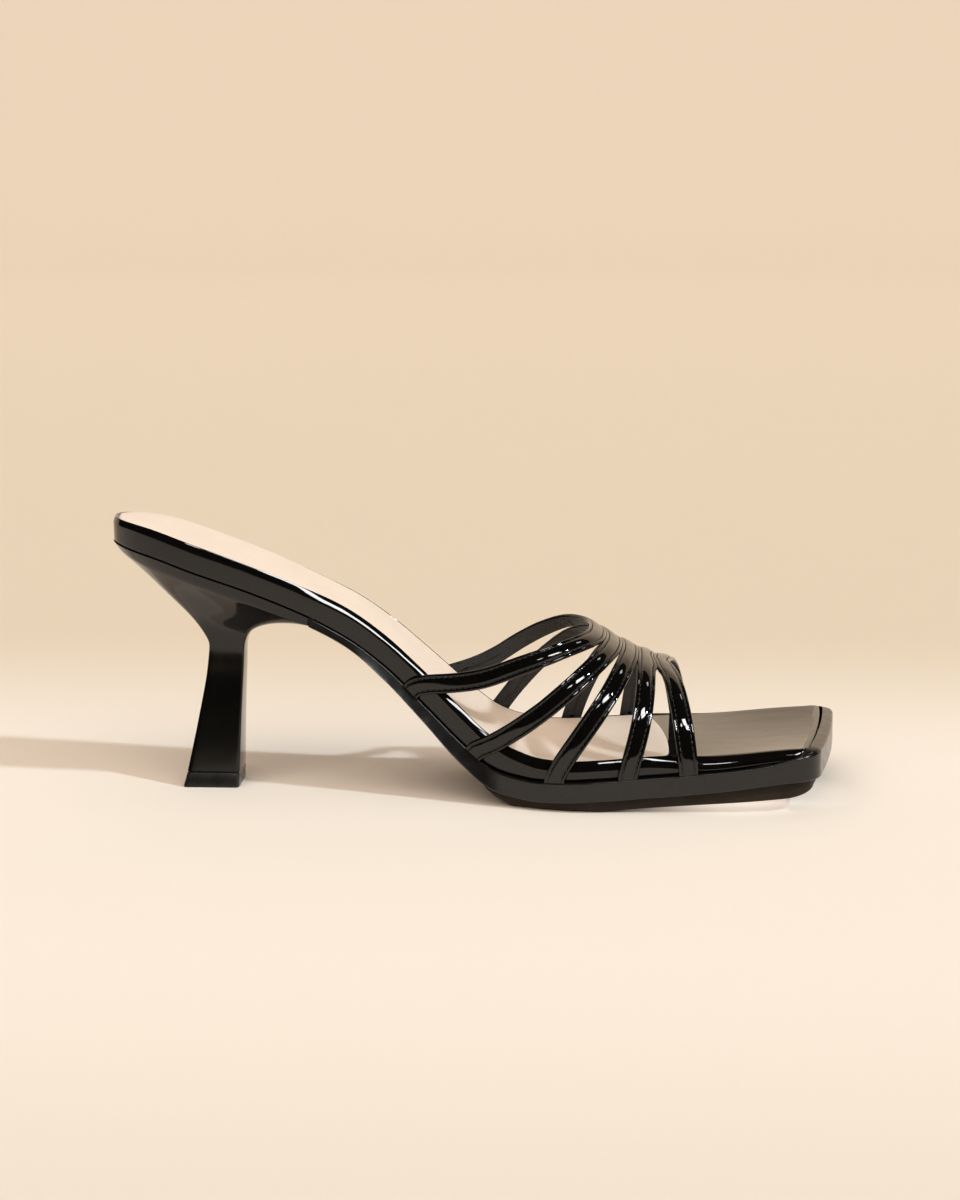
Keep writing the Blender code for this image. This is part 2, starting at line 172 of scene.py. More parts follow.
# The heel's rings: how many from one section to the next, the points on half a ring, how often the
# cup's rings are eased, at which row of the neck that has faded and over how many rows it does
HEEL_STEPS = 9
HEEL_POINTS = 56
HEEL_EASE = 60
NECK_ROW = 7
NECK_BLEND = 1.5

# How far the top lift flares out at its foot
TIP_FLARE_BACK = 1.4 * MM
TIP_FLARE_FRONT = -0.2 * MM
TIP_FLARE_SIDE = 0.4 * MM

# How finely the pieces are divided: sections along the shoe, steps round its ends and across, steps
# up a bead, over a roll, down a wall and round a curled or rounded edge, and rows along the straps
GRID_STEP = 1.6 * MM
HEEL_ARC_STEPS = 26
CORNER_STEPS = 9
ACROSS = 30
BEAD_STEPS = 5
ROLL_STEPS = 14
WALL_STEPS = 8
CURL_STEPS = 5
ROUND_STEPS = 6
SOCK_STEPS = 4
BEVEL_STEPS = 3
STRAP_ROWS = 220
STRAP_COLUMNS = 44
STITCH_SIDES = 6
STITCH_RINGS = 5

# The stitches: how far round each one the patent is drawn in, and in shares of the thread how much of
# it stands above its groove, how much it thins towards its ends and how deep those dip
PUCKER_REACH = 0.55 * MM
STITCH_LIFT = 0.2
STITCH_TAPER = 0.85
STITCH_DIP = 0.3

# A strap lies flatter at its feet and at the crown: from or up to which angle, over how many degrees,
# and by what share of its dome, which is this full
FOOT_START = 48.0
FOOT_BLEND = 26.0
FOOT_FLAT = 0.85
CROWN_END = 8.0
CROWN_BLEND = 18.0
CROWN_FLAT = 0.6
DOME_FULLNESS = 2.4

# The camera, in metres, and its lens in millimetres on a sensor as wide as the picture
CAMERA_PLACE = (0.05295, -0.9858, 0.2206)
CAMERA_TARGET = (0.00125, 0.0, 0.0607)
CAMERA_LENS = 116.75
SENSOR_WIDTH = 36.0

# The middle range of a texture's values, which a finish spreads over its own
TEXTURE_RANGE = (0.3, 0.7)

# The stage, in metres: the floor's near edge, where it bends up and how far round, the backdrop's
# height and half the width of both, and the far edge and height of the dark card in front
FLOOR_NEAR = -8.0
FLOOR_BEND = 3.0
BEND_RADIUS = 5.0
BEND_STEPS = 24
BACKDROP_HEIGHT = 8.0
STAGE_HALF = 14.0
FLAG_EDGE = -0.52
FLAG_HEIGHT = 0.002
FLAG_SHADE = (0.004, 0.004, 0.004)

# The tones of the stage: from where to where along y, in metres, each takes over from the last one
TONES = (
    # Painted shade: the near tone darkens the floor towards the camera
    (-0.20, -0.46, "near"),
    (0.03, 0.30, "backdrop"),
    (2.0, 5.5, "far"),
)

# Light from all round, and how far off the lights stand, in metres
SURROUND = (1.0, 0.86, 0.70, 1.0)
SURROUND_STRENGTH = 0.02
SUN_DISTANCE = 3.0
SOFTBOX_DISTANCE = 1.2

# One row for each even light: degrees to the right of the camera's side, degrees up, how many degrees
# wide it is, and the names of its colour and its strength
Sun = namedtuple("Sun", "name azimuth elevation width colour strength")
SUNS = (
    Sun("key_right", 61, 39, 4.0, "cool", "key"),
    Sun("fill_above", 0, 82, 90.0, "warm", "above"),
    Sun("fill_front", 0, 34, 80.0, "warm", "front"),
)

# One row for each softbox: degrees to the right of the camera's side, degrees up, its width and height
# in metres and its power in watts
Softbox = namedtuple("Softbox", "name azimuth elevation width height power")
SOFTBOXES = (
    Softbox("softbox_front", 26, 51, 0.36, 0.22, 6.2),
    Softbox("softbox_low", 32, 43, 0.40, 0.10, 3.2),
    Softbox("softbox_middle", 0, 45, 0.14, 0.10, 1.0),
    Softbox("softbox_back", 131, 55, 0.14, 0.14, 0.43),
)

# A light narrower than this, in degrees, shows in reflections
SMALL_LIGHT = 10.0

# The light under the straps: its place and its size, in metres
INNER_FILL_PLACE = (0.043, 0.0, 0.030)
INNER_FILL_SIZE = (0.050, 0.058)

# The floor under the raised toe glows with painted light, in metres: the middle and the reach of its
# painted pool of light, where and to what share it fades behind its front, the shares of the reach where
# the pool and the painted fill of the toe's own shadow begin to fade, and where the toe's own shadow ends
# at the right and along its slanting front
TOE_SPOT = (0.083, -0.006, 0.0)
TOE_SPOT_REACH = (0.042, 0.040, 1.0)
POOL_FRONT = -24.0 * MM
POOL_BACK = -12.0 * MM
POOL_SHARE = 0.55
POOL_CORE = 0.35
FILL_CORE = 0.85
FILL_END = 1.25
SHADOW_RIGHT = 99.6 * MM
SHADOW_FRONT = -40.4 * MM
SHADOW_SLANT = -0.079
SHADOW_EDGE = 0.7 * MM


def length(name, description, millimetres):
    """A length that a user may change, shown in the scene's units."""
    return FloatProperty(
        name=name, description=description, default=millimetres * MM, unit="LENGTH", precision=5
    )


def colour(name, description, red, green, blue):
    """A colour that a user may change."""
    shade = (red, green, blue)
    return FloatVectorProperty(
        name=name, description=description, default=shade, subtype="COLOR", size=3, min=0.0, max=1.0
    )


def strength(name, description, value):
    """A strength of light that a user may change."""
    return FloatProperty(name=name, description=description, default=value, min=0.0)


class MuleSizes(bpy.types.PropertyGroup):
    """Sizes of the finished pieces that the solids leave open."""

    edge_roll: length("Edge roll", "Width of the footbed's rolled upper edge", 1.5)
    seat_roll: length("Seat roll", "Width of the rolled upper edge round the heel's seat", 0.75)
    seat_drop: length("Seat drop", "Height of the rolled upper edge round the heel's seat", 2.1)
    edge_drop: length("Edge drop", "Height of the footbed's rolled upper edge further on", 3.2)
    near_bead: length("Lateral bead", "How far the rolled edge stands up beside the sock, laterally", 1.3)
    far_bead: length("Medial bead", "How far the rolled edge stands up beside the sock, medially", 0.5)
    edge_curl: length("Edge curl", "Radius of the footbed's lower edge where the patent turns under", 0.6)
    side_lean: length("Side lean", "How far the footbed's side leans in towards its foot", 0.15)
    toe_dish: length("Toe dish", "How far the bare toe of the footbed is hollowed across", 1.5)
    sock_edge: length("Sock edge", "Height of the sock's thinned edge", 0.42)
    sock_pad: length("Sock pad", "How far the sock swells above its edges", 0.4)
    sole_edge: length("Sole edge", "Width of the bevel along the sole's edges", 0.4)
    waist_lean: length("Waist lean", "How far the sole's side leans in along the waist", 1.05)
    lip_round: length("Lip round", "Radius of the toe lip's outer edge", 1.2)
    tread_bevel: length("Tread bevel", "Width of the bevel under the tread's edge", 2.6)
    tip_bevel: length("Tip bevel", "Bevel on the top lift's edges", 0.3)
    strap_width: length("Strap width", "Width of one strap", 6.2)
    strap_wall: length("Strap wall", "Height of a strap's stitched margin above the foot", 1.35)
    strap_dome: length("Strap dome", "How far a strap's middle stands above its margins", 0.55)
    strap_margin: length("Strap margin", "Width of the margin outside each row of stitches", 1.2)
    strap_edge: length("Strap edge", "Radius of a strap's folded edge", 0.5)
    groove_depth: length("Groove depth", "Depth of the groove that the stitches lie in", 0.28)
    groove_width: length("Groove width", "Half the width of the groove that the stitches lie in", 0.3)
    pucker: length("Pucker", "How far the patent is drawn in at every stitch", 0.07)
    lining: length("Lining", "Thickness of the straps' lining", 0.4)
    stitch_pitch: length("Stitch pitch", "Distance from one stitch to the next", 1.9)
    stitch_length: length("Stitch length", "Length of thread that shows in one stitch", 1.45)
    thread_width: length("Thread width", "Width of the sewing thread", 0.34)


class MuleColours(bpy.types.PropertyGroup):
    """Colours of the finishes."""

    patent: colour("Patent", "Lacquered leather of the straps and the footbed", 0.0015, 0.0013, 0.0011)
    lining: colour("Lining", "Leather inside the straps", 0.012, 0.0125, 0.0135)
    thread: colour("Thread", "Sewing thread", 0.010, 0.009, 0.008)
    sock: colour("Sock", "Leather of the sock lining", 0.82, 0.655, 0.53)
    sock_shade: colour("Sock shade", "Deeper tone in the sock's grain", 0.74, 0.55, 0.43)
    sole: colour("Sole", "Satin side of the sole", 0.0045, 0.0040, 0.0038)
    tread: colour("Tread", "Rubber under the forefoot", 0.012, 0.008, 0.005)
    heel: colour("Heel", "Lacquered heel", 0.0015, 0.0012, 0.001)
    top_lift: colour("Top lift", "Hard plastic under the heel", 0.005, 0.0045, 0.004)


class MuleStudio(bpy.types.PropertyGroup):
    """Floor and light of the stage."""

    floor: colour("Floor", "Pale floor", 0.82, 0.705, 0.605)
    # Painted shade: the floor is darker close to the camera
    near: colour("Near floor", "Floor close to the camera", 0.735, 0.633, 0.522)
    backdrop: colour("Backdrop", "Backdrop behind the floor", 0.68, 0.545, 0.412)
    far: colour("Far backdrop", "Backdrop where it sweeps up", 0.56, 0.445, 0.34)
    cool: colour("Key colour", "Colour of the key light", 0.70, 0.88, 1.0)
    warm: colour("Fill colour", "Colour of the soft lights", 0.94, 0.88, 0.80)
    key: strength("Key", "Strength of the key light", 2.0)
    above: strength("Above", "Strength of the soft light above", 1.05)
    front: strength("Front", "Strength of the soft light in front", 2.95)
    # Painted light: the floor glows under the raised toe, as a painted pool and a painted fill of the
    # toe's shadow
    painted_pool: strength("Painted_pool", "Light on the floor under the raised toe", 0.95)
    painted_shadow_fill: strength("Shadow fill", "Light that fills the toe's own shadow", 0.22)
    inner: strength("Inner", "Power of the light under the straps, in watts", 0.0035)


class Curve:
    """A smooth curve through a table's rows that never overshoots them."""

    def __init__(self, xs, ys):
        self.xs, self.ys = xs, ys
        steps = [(d - c) / (b - a) for a, b, c, d in zip(xs, xs[1:], ys, ys[1:])]
        inner = [2 * a * b / (a + b) if a * b > 0 else 0.0 for a, b in zip(steps, steps[1:])]
        self.slopes = [steps[0], *inner, steps[-1]]

    def __call__(self, at):
        xs, ys = self.xs, self.ys
        at = min(max(at, xs[0]), xs[-1])
        i = min(bisect_right(xs, at), len(xs) - 1) - 1
        span = xs[i + 1] - xs[i]
        f = (at - xs[i]) / span
        rise = f * f * (3 - 2 * f)
        start = f * (1 - f) ** 2 * self.slopes[i] * span
        end = f * f * (f - 1) * self.slopes[i + 1] * span
        return ys[i] + (ys[i + 1] - ys[i]) * rise + start + end


def column(rows, name, unit=MM):
    """A table's column as a curve along the shoe, in metres."""
    return Curve([row.x * MM for row in rows], [getattr(row, name) * unit for row in rows])


top = column(SECTIONS, "top")
footbed_depth = column(SECTIONS, "footbed")
sole_depth = column(SECTIONS, "sole")
lateral = column(SECTIONS, "lateral")
medial = column(SECTIONS, "medial")
ledge = column(SECTIONS, "ledge", SOLE_LEDGE)
crown = column(CROWN, "height")
tread_bottom = column(TREAD, "bottom")


def joint(x):
    """Height of the line where the footbed meets the sole or the heel."""
    return top(x) - footbed_depth(x)


def sole_bottom(x):
    return joint(x) - JOINT_GAP - sole_depth(x)


def sole_floor(x):
    """Height of the sole's upper face, under the footbed and along the ledge."""
    return joint(x) - JOINT_GAP


def ramp(value):
    """Ease from 0 to 1."""
    value = min(max(value, 0.0), 1.0)
    return value * value * (3 - 2 * value)


def mix(a, b, share):
    return a + (b - a) * share


def rounded(u, squareness):
    """Share of a section's full width at a place from its middle (0) to its end (1)."""
    return max(1 - u ** squareness, 0.0) ** (1 / squareness)


# The ends of a flat outline, in metres: its back, the middle of its front edge, how far it stands
# out from the footbed's side, with how much of the ledge, the slant and bow of its front edge and
# the radius of its front corners
Outline = namedtuple("Outline", "back front grow ledge slant bow corner")
TOE_SLANT = 3.4 * MM
TOE_BOW = 1.0 * MM
TOE_MIDDLE = TOE_FRONT - TOE_SLANT + TOE_BOW
BOARD_FRONT = TOE_MIDDLE - LIP_WIDTH - LIP_GAP
SOCK_INSET = 1.9 * MM
FRONT_BLEND = 40.0 * MM
FOOTBED = Outline(HEEL_BACK, BOARD_FRONT, 0.0, 0.0, TOE_SLANT, TOE_BOW, 5.0 * MM)
SOLE = Outline(HEEL_FRONT + LAID_GAP, TOE_MIDDLE, 0.0, 1.0, TOE_SLANT, TOE_BOW, 9.0 * MM)
TREAD_EDGE = Outline(
    TREAD[0].x * MM, TOE_MIDDLE - TREAD_INSET, -TREAD_INSET, 1.0, TOE_SLANT, TOE_BOW, 9.0 * MM
)
SOCK = Outline(HEEL_BACK + SOCK_INSET, 61.0 * MM, -SOCK_INSET, 0.0, -2.4 * MM, 1.4 * MM, 9.0 * MM)

# The footbed's beaded edge: where it grows up from the heel's seat, over how far and from what share,
# how far from the middle it is a side's own, how full its roll is (1 is a plain slope), and where it
# eases into a round roll at the bare toe, over how far and to what share of its depth at the sides and
# at the front
SEAT_END = -70.0 * MM
SEAT_BLEND = 35.0 * MM
SEAT_BEAD = 0.75
BEAD_REACH = 22.0 * MM
ROLL_FULLNESS = 1.2
ROUND_FULLNESS = 2.0
BARE_START = 52.0 * MM
BARE_BLEND = 26.0 * MM
BARE_ROLL = 0.92
BARE_FRONT = 0.3

# Along the waist the roll grows deeper and wider: from where and over how far each
WAIST_DROP = -40.0 * MM
WAIST_BLEND = 45.0 * MM
WAIST_ROLL = -57.0 * MM
ROLL_BLEND = 11.0 * MM

# The sole's rim stays level with its ledge up to here, then rises towards the footbed's top
RIM_START = 91.0 * MM
RIM_END = 126.0 * MM

# The sole's side leans in along the waist, from where to where it eases, and by what shares at its upper
# and its lower edge; its bevel grows from a share at the heel over a short way
WAIST_EASE = -2.0 * MM
WAIST_END = 14.0 * MM
LEAN_ABOVE = 0.92
LEAN_BELOW = 0.1
HEEL_BEVEL = 0.05
BEVEL_START = 8.0 * MM

# How much of the sock's thinned edge is rounded, and how flat its padding is (2 is round)
SOCK_ROUND = 0.7
SOCK_FLATNESS = 4


def half_width(outline, s, side):
    """Half width of an outline at a station, on the lateral (-1) or the medial (+1) side."""
    width = (lateral(s) if side < 0 else medial(s)) + outline.grow + outline.ledge * ledge(s)
    if s < HEEL_CENTRE and outline.back < HEEL_CENTRE:
        u = (HEEL_CENTRE - s) / (HEEL_CENTRE - outline.back)
        width *= rounded(u, HEEL_ROUNDNESS)
    into_corner = s - (outline.front - outline.corner)
    if into_corner > 0:
        width -= outline.corner - sqrt(max(outline.corner ** 2 - into_corner ** 2, 0.0))
    return width


def plan(outline, s, side):
    """Place a point of an outline on the plan; its front edge is slanted and bowed."""
    lead = outline.slant * side - outline.bow * side * side
    x = s + lead * ramp((s - outline.front + FRONT_BLEND) / FRONT_BLEND)
    return Vector((x, side * half_width(outline, s, side)))


def stations(outline):
    """Sections along an outline: even along its length and closer round its ends."""
    front_end = outline.front - outline.corner
    places = [outline.back]
    start = outline.back
    if outline.back < HEEL_CENTRE:
        crowding = 1.5
        turns = [(i / HEEL_ARC_STEPS) ** crowding * pi / 2 for i in range(HEEL_ARC_STEPS)]
        places = [HEEL_CENTRE - (HEEL_CENTRE - outline.back) * cos(turn) for turn in turns]
        start = HEEL_CENTRE
    count = round((front_end - start) / GRID_STEP)
    places += [mix(start, front_end, i / count) for i in range(start != HEEL_CENTRE, count)]
    turns = [i / CORNER_STEPS * pi / 2 for i in range(CORNER_STEPS + 1)]
    places += [front_end + outline.corner * sin(turn) for turn in turns]
    return places


class Rim:
    """The closed edge of a flat piece: its points, inward directions, stations and rows."""

    def __init__(self, outline):
        places = stations(outline)
        sides = [2 * i / ACROSS - 1 for i in range(ACROSS + 1)]
        inner = places[1:-1]
        back_sides = [0.0] if outline.back < HEEL_CENTRE else sides[::-1]
        back = [(places[0], side) for side in back_sides]
        near = [(s, -1.0) for s in inner]
        front = [(places[-1], side) for side in sides]
        far = [(s, 1.0) for s in reversed(inner)]
        self.at = back + near + front + far
        self.points = [plan(outline, s, side) for s, side in self.at]
        self.into_corner = [ramp((s - outline.front) / outline.corner + 1) for s, side in self.at]
        self.inward = []
        count = len(self.points)
        for k in range(count):
            along = self.points[(k + 1) % count] - self.points[k - 1]
            self.inward.append(Vector((-along.y, along.x)).normalized())
        first, last = len(back), count - 1
        self.rows = [(first + i, last - i) for i in range(len(inner))]
        self.back_row = list(range(len(back)))[::-1]
        self.front_row = [first + len(inner) + i for i in range(len(front))]

    def place(self, k, inset):
        return self.points[k] + self.inward[k] * inset


# One point of the profile swept round a rim: how far in it lies, and its height as a function of x
Edge = namedtuple("Edge", "inset height")


def join_rings(faces, first, second, size):
    """Join two closed rings of points, each given by its first point, with a band of faces."""
    for i in range(size):
        j = (i + 1) % size
        faces.append((first + i, first + j, second + j, second + i))


def sweep(rim, profile, upper, lower):
    """Close a solid from a profile swept round a rim, covered by an upper and a lower face."""
    verts, faces = [], []
    count = len(rim.points)
    sections = [profile(k) for k in range(count)]
    for j in range(len(sections[0])):
        for k in range(count):
            spot = rim.place(k, sections[k][j].inset)
            verts.append((spot.x, spot.y, sections[k][j].height(spot.x)))
    for j in range(len(sections[0]) - 1):
        join_rings(faces, j * count, (j + 1) * count, count)
    for ring, height in ((0, upper), ((len(sections[0]) - 1) * count, lower)):
        cover(rim, verts, faces, ring, height)
    return verts, faces


def cover(rim, verts, faces, ring, height):
    """Cover a ring of the sweep with rows of faces from side to side."""
    rows = [[ring + k for k in rim.back_row]]
    for near, far in rim.rows:
        a, b = Vector(verts[ring + near]), Vector(verts[ring + far])
        row = [ring + near]
        for i in range(1, ACROSS):
            spot = a.lerp(b, i / ACROSS)
            row.append(len(verts))
            verts.append((spot.x, spot.y, height(spot.x, 2 * i / ACROSS - 1)))
        rows.append(row + [ring + far])
    rows.append([ring + k for k in rim.front_row])
    for row, after in zip(rows, rows[1:]):
        for i in range(ACROSS):
            if len(row) == 1:
                faces.append((row[0], after[i], after[i + 1]))
            else:
                faces.append((row[i], row[i + 1], after[i + 1], after[i]))


def add_piece(name, verts, faces, mat, replaced=(), sharp_angle=45):
    """Add a finished piece that rides on the shoe, with its faces out and its curves smooth."""
    mesh = bpy.data.meshes.new(name)
    mesh.from_pydata(verts, [], faces)
    bm = bmesh.new()
    bm.from_mesh(mesh)
    bmesh.ops.recalc_face_normals(bm, faces=bm.faces)
    bm.to_mesh(mesh)
    bm.free()
    mesh.materials.append(mat)
    mesh.shade_smooth()
    mesh.set_sharp_from_angle(angle=radians(sharp_angle))
    obj = bpy.data.objects.new(name, mesh)
    bpy.context.scene.collection.objects.link(obj)
    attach(obj, BODY)
    if replaced:
        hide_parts(*replaced)
    return obj


class Finish:
    """A procedural material, built step by step around one Principled shader."""

    def __init__(self, name, base, roughness):
        self.material = bpy.data.materials.new(name)
        self.material.use_nodes = True
        self.tree = self.material.node_tree
        self.shader = self.tree.nodes["Principled BSDF"]
        self.set(Base_Color=(*base, 1.0), Roughness=roughness)
        self.spot = self.tree.nodes.new("ShaderNodeTexCoord").outputs["Object"]
        self.normal = None

    def give(self, socket, value):
        """Set a socket to a value, or link it to another node's output."""
        if isinstance(value, bpy.types.NodeSocket):
            self.tree.links.new(value, socket)
        else:
            socket.default_value = value

    def feed(self, node, **inputs):
        for name, value in inputs.items():
            self.give(node.inputs[name.replace("_", " ")], value)

    def set(self, **inputs):
        """Set or link inputs of the shader."""
        self.feed(self.shader, **inputs)

    def node(self, kind, settings=None, **inputs):
        """Add a shader node with its settings and its inputs."""
        made = self.tree.nodes.new("ShaderNode" + kind)
        for name, value in (settings or {}).items():
            setattr(made, name, value)
        self.feed(made, **inputs)
        return made

    def noise(self, size, detail=3.0, roughness=0.5):
        """A noise whose features are about so many metres apart."""
        made = self.node("TexNoise", Vector=self.spot, Scale=1 / size, Detail=detail, Roughness=roughness)
        return made.outputs["Fac"]

    def pores(self, size):
        """Rounded cells about so many metres across, as in leather."""
        made = self.node("TexVoronoi", {"feature": "SMOOTH_F1"}, Vector=self.spot, Scale=1 / size)
        return made.outputs["Distance"]

    def spread(self, source, start, end, low, high, shape="LINEAR"):
        """Spread a range of values over another one."""
        made = self.node(
            "MapRange", {"interpolation_type": shape},
            Value=source, From_Min=start, From_Max=end, To_Min=low, To_Max=high,
        )
        return made.outputs["Result"]

    def ease(self, source, start, end, low, high):
        """Ease from one value to another as a third one goes from its start to its end."""
        return self.spread(source, start, end, low, high, "SMOOTHSTEP")

    def vary(self, source, low, high):
        """Spread a texture's middle range over other values."""
        return self.spread(source, *TEXTURE_RANGE, low, high)

    def combine(self, operation, *values):
        """Add or multiply node outputs and numbers."""
        made = self.node("Math", {"operation": operation})
        for socket, value in zip(made.inputs, values):
            self.give(socket, value)
        return made.outputs["Value"]

    def blend(self, share, low, high):
        """Blend two colours, or the colours of two nodes."""
        made = self.node("Mix", {"data_type": "RGBA"}, Factor=share, A=low, B=high)
        return made.outputs["Result"]

    def tint(self, source, low, high):
        """Colour the base between two tones."""
        share = self.vary(source, 0.0, 1.0)
        self.set(Base_Color=self.blend(share, (*low, 1.0), (*high, 1.0)))

    def rough(self, source, low, high):
        self.set(Roughness=self.vary(source, low, high))

    def bump(self, source, depth):
        """Raise the surface by a texture, on top of any bump made before."""
        made = self.node("Bump", Height=source, Distance=depth, Strength=1.0)
        if self.normal:
            self.feed(made, Normal=self.normal)
        self.normal = made.outputs["Normal"]
        self.set(Normal=self.normal)

    def lacquer(self, roughness):
        """A clear coat over a base that shows no gloss of its own."""
        self.set(Specular_IOR_Level=0.0, Coat_Weight=1.0, Coat_Roughness=roughness, Coat_IOR=1.5)
        if self.normal:
            self.set(Coat_Normal=self.normal)


def patent_finish(name, base, ripple):
    """Lacquered leather: black, mirror bright, with a faint ripple."""
    finish = Finish(name, base, 0.5)
    finish.bump(finish.noise(9.0 * MM, 1.0), ripple)
    finish.bump(finish.noise(0.7 * MM, 2.0), ripple / 60)
    finish.tint(finish.noise(3.0 * MM), base, [c * 1.4 for c in base])
    finish.lacquer(0.04)
    return finish.material


def sock_finish(colours):
    """Pale matt leather with fine pores and a soft change of tone."""
    finish = Finish("sock_leather", colours.sock, 0.55)
    deeper = Vector(colours.sock).lerp(Vector(colours.sock_shade), 0.35)
    finish.tint(finish.noise(16.0 * MM, 4.0), deeper, colours.sock)
    finish.rough(finish.noise(2.5 * MM), 0.5, 0.62)
    finish.bump(finish.pores(0.55 * MM), 0.03 * MM)
    finish.bump(finish.noise(5.0 * MM), 0.12 * MM)
    finish.set(Sheen_Weight=0.08, Sheen_Roughness=0.4)
    return finish.material


def lining_finish(colours):
    """Dark lining leather with a visible grain."""
    finish = Finish("lining_leather", colours.lining, 0.5)
    finish.rough(finish.noise(1.2 * MM), 0.25, 0.45)
    finish.bump(finish.pores(1.1 * MM), 0.35 * MM)
    finish.bump(finish.noise(2.4 * MM), 0.3 * MM)
    return finish.material


def satin_finish(name, base, roughness):
    """Moulded satin plastic with a very fine grain."""
    finish = Finish(name, base, roughness)
    finish.rough(finish.noise(4.0 * MM, 4.0), roughness - 0.05, roughness + 0.05)
    finish.bump(finish.noise(0.35 * MM, 2.0), 0.004 * MM)
    finish.tint(finish.noise(12.0 * MM), base, [c * 1.15 for c in base])
    return finish.material


def rubber_finish(colours):
    """Matt rubber with a moulded grain."""
    finish = Finish("tread_rubber_grain", colours.tread, 0.65)
    finish.tint(finish.noise(6.0 * MM, 4.0), colours.tread, [c * 1.6 for c in colours.tread])
    finish.rough(finish.noise(3.0 * MM), 0.55, 0.75)
    finish.bump(finish.pores(0.9 * MM), 0.1 * MM)
    finish.set(Specular_IOR_Level=0.2)
    return finish.material


def gloss_finish(name, base):
    """Smooth lacquer on a moulded heel."""
    finish = Finish(name, base, 0.5)
    finish.bump(finish.noise(14.0 * MM, 1.0), 0.03 * MM)
    finish.tint(finish.noise(10.0 * MM), base, [c * 1.3 for c in base])
    finish.lacquer(0.09)
    return finish.material


def thread_finish(colours):
    """Twisted sewing thread with a slight shine."""
    finish = Finish("sewing_thread", colours.thread, 0.35)
    finish.rough(finish.noise(0.6 * MM), 0.25, 0.45)
    finish.bump(finish.noise(0.12 * MM), 0.02 * MM)
    return finish.material


def arc(radius, steps):
    """Points of a quarter circle as (along, across) from a face into the side that it turns to."""
    turns = [i / steps * pi / 2 for i in range(steps + 1)]
    return [(radius * (1 - sin(turn)), radius * (1 - cos(turn))) for turn in turns]


def slope_over(width, height, fullness, steps):
    """Points of a rolled edge as (inset, drop), from a top face over a slope into the side."""
    power = 2 / fullness
    points = []
    for i in range(steps + 1):
        turn = i / steps * pi / 2
        inset, drop = 1 - sin(turn) ** power, 1 - max(cos(turn), 0.0) ** power
        points.append((width * inset, height * drop))
    return points


def below(curve, drop):
    return lambda x: curve(x) - drop


def level(curve):
    """A cover that runs straight across from side to side."""
    return lambda x, side: curve(x)


def make_footbed(sizes, colours):
    """The wrapped insole board: its rolled edge stands up round the sock and eases at the bare toe."""
    curl = sizes.edge_curl
    rim = Rim(FOOTBED)

    def profile(k):
        s = rim.at[k][0]
        bare = ramp((s - BARE_START) / BARE_BLEND)
        grown = ramp((s - SEAT_END) / SEAT_BLEND)
        across = ramp((rim.points[k].y / BEAD_REACH + 1) / 2)
        near = sizes.near_bead * mix(SEAT_BEAD, 1.0, grown)
        bead = mix(near, sizes.far_bead * grown, across) * (1 - bare)
        round_drop = footbed_depth(s) * mix(BARE_ROLL, BARE_FRONT, rim.into_corner[k])
        drop_all = mix(sizes.seat_drop, sizes.edge_drop, ramp((s - WAIST_DROP) / WAIST_BLEND))
        drop_all = mix(min(drop_all, round_drop), round_drop, bare)
        roll = mix(sizes.seat_roll, sizes.edge_roll, ramp((s - WAIST_ROLL) / ROLL_BLEND))
        roll = mix(roll, round_drop, bare)
        foot = max(SOCK_INSET - LAID_GAP, roll + JOINT_GAP)

        def wall(share):
            return lambda x: mix(top(x) + bead - drop_all, joint(x) + curl, share)

        steps = [i / BEAD_STEPS for i in range(BEAD_STEPS)]
        rise = [(mix(foot, roll, step), bead * (1 - ramp(step))) for step in steps]
        rise += slope_over(roll, drop_all, mix(ROLL_FULLNESS, ROUND_FULLNESS, bare), ROLL_STEPS)
        edge = [Edge(inset, below(top, drop - bead)) for inset, drop in rise]
        steps = [i / WALL_STEPS for i in range(1, WALL_STEPS)]
        edge += [Edge(sizes.side_lean * step, wall(step)) for step in steps]
        under = [(sizes.side_lean + inset, drop) for inset, drop in reversed(arc(curl, CURL_STEPS))]
        return edge + [Edge(inset, below(joint, -drop)) for inset, drop in under]

    def upper(x, side):
        bare = ramp((x - SOCK.front) / FRONT_BLEND)
        return top(x) - bare * sizes.toe_dish * (1 - side * side)

    mat = patent_finish("footbed_patent_gloss", colours.patent, 0.10 * MM)
    verts, faces = sweep(rim, profile, upper, level(joint))
    return add_piece("wrapped_footbed", verts, faces, mat, ["footbed"])


def make_sock(sizes, colours):
    """The sock lining, laid on the footbed, padded in the middle and thinned towards its edges."""
    rim = Rim(SOCK)
    edge = sizes.sock_edge
    bottom = below(top, -LAID_GAP)
    profile = [Edge(inset, below(top, drop - edge)) for inset, drop in arc(edge * SOCK_ROUND, SOCK_STEPS)]
    profile.append(Edge(0.0, bottom))

    def upper(x, side):
        return top(x) + edge + sizes.sock_pad * (1 - side ** SOCK_FLATNESS)

    verts, faces = sweep(rim, lambda k: profile, upper, level(bottom))
    return add_piece("sock_leather_sheet", verts, faces, sock_finish(colours), ["sock"])


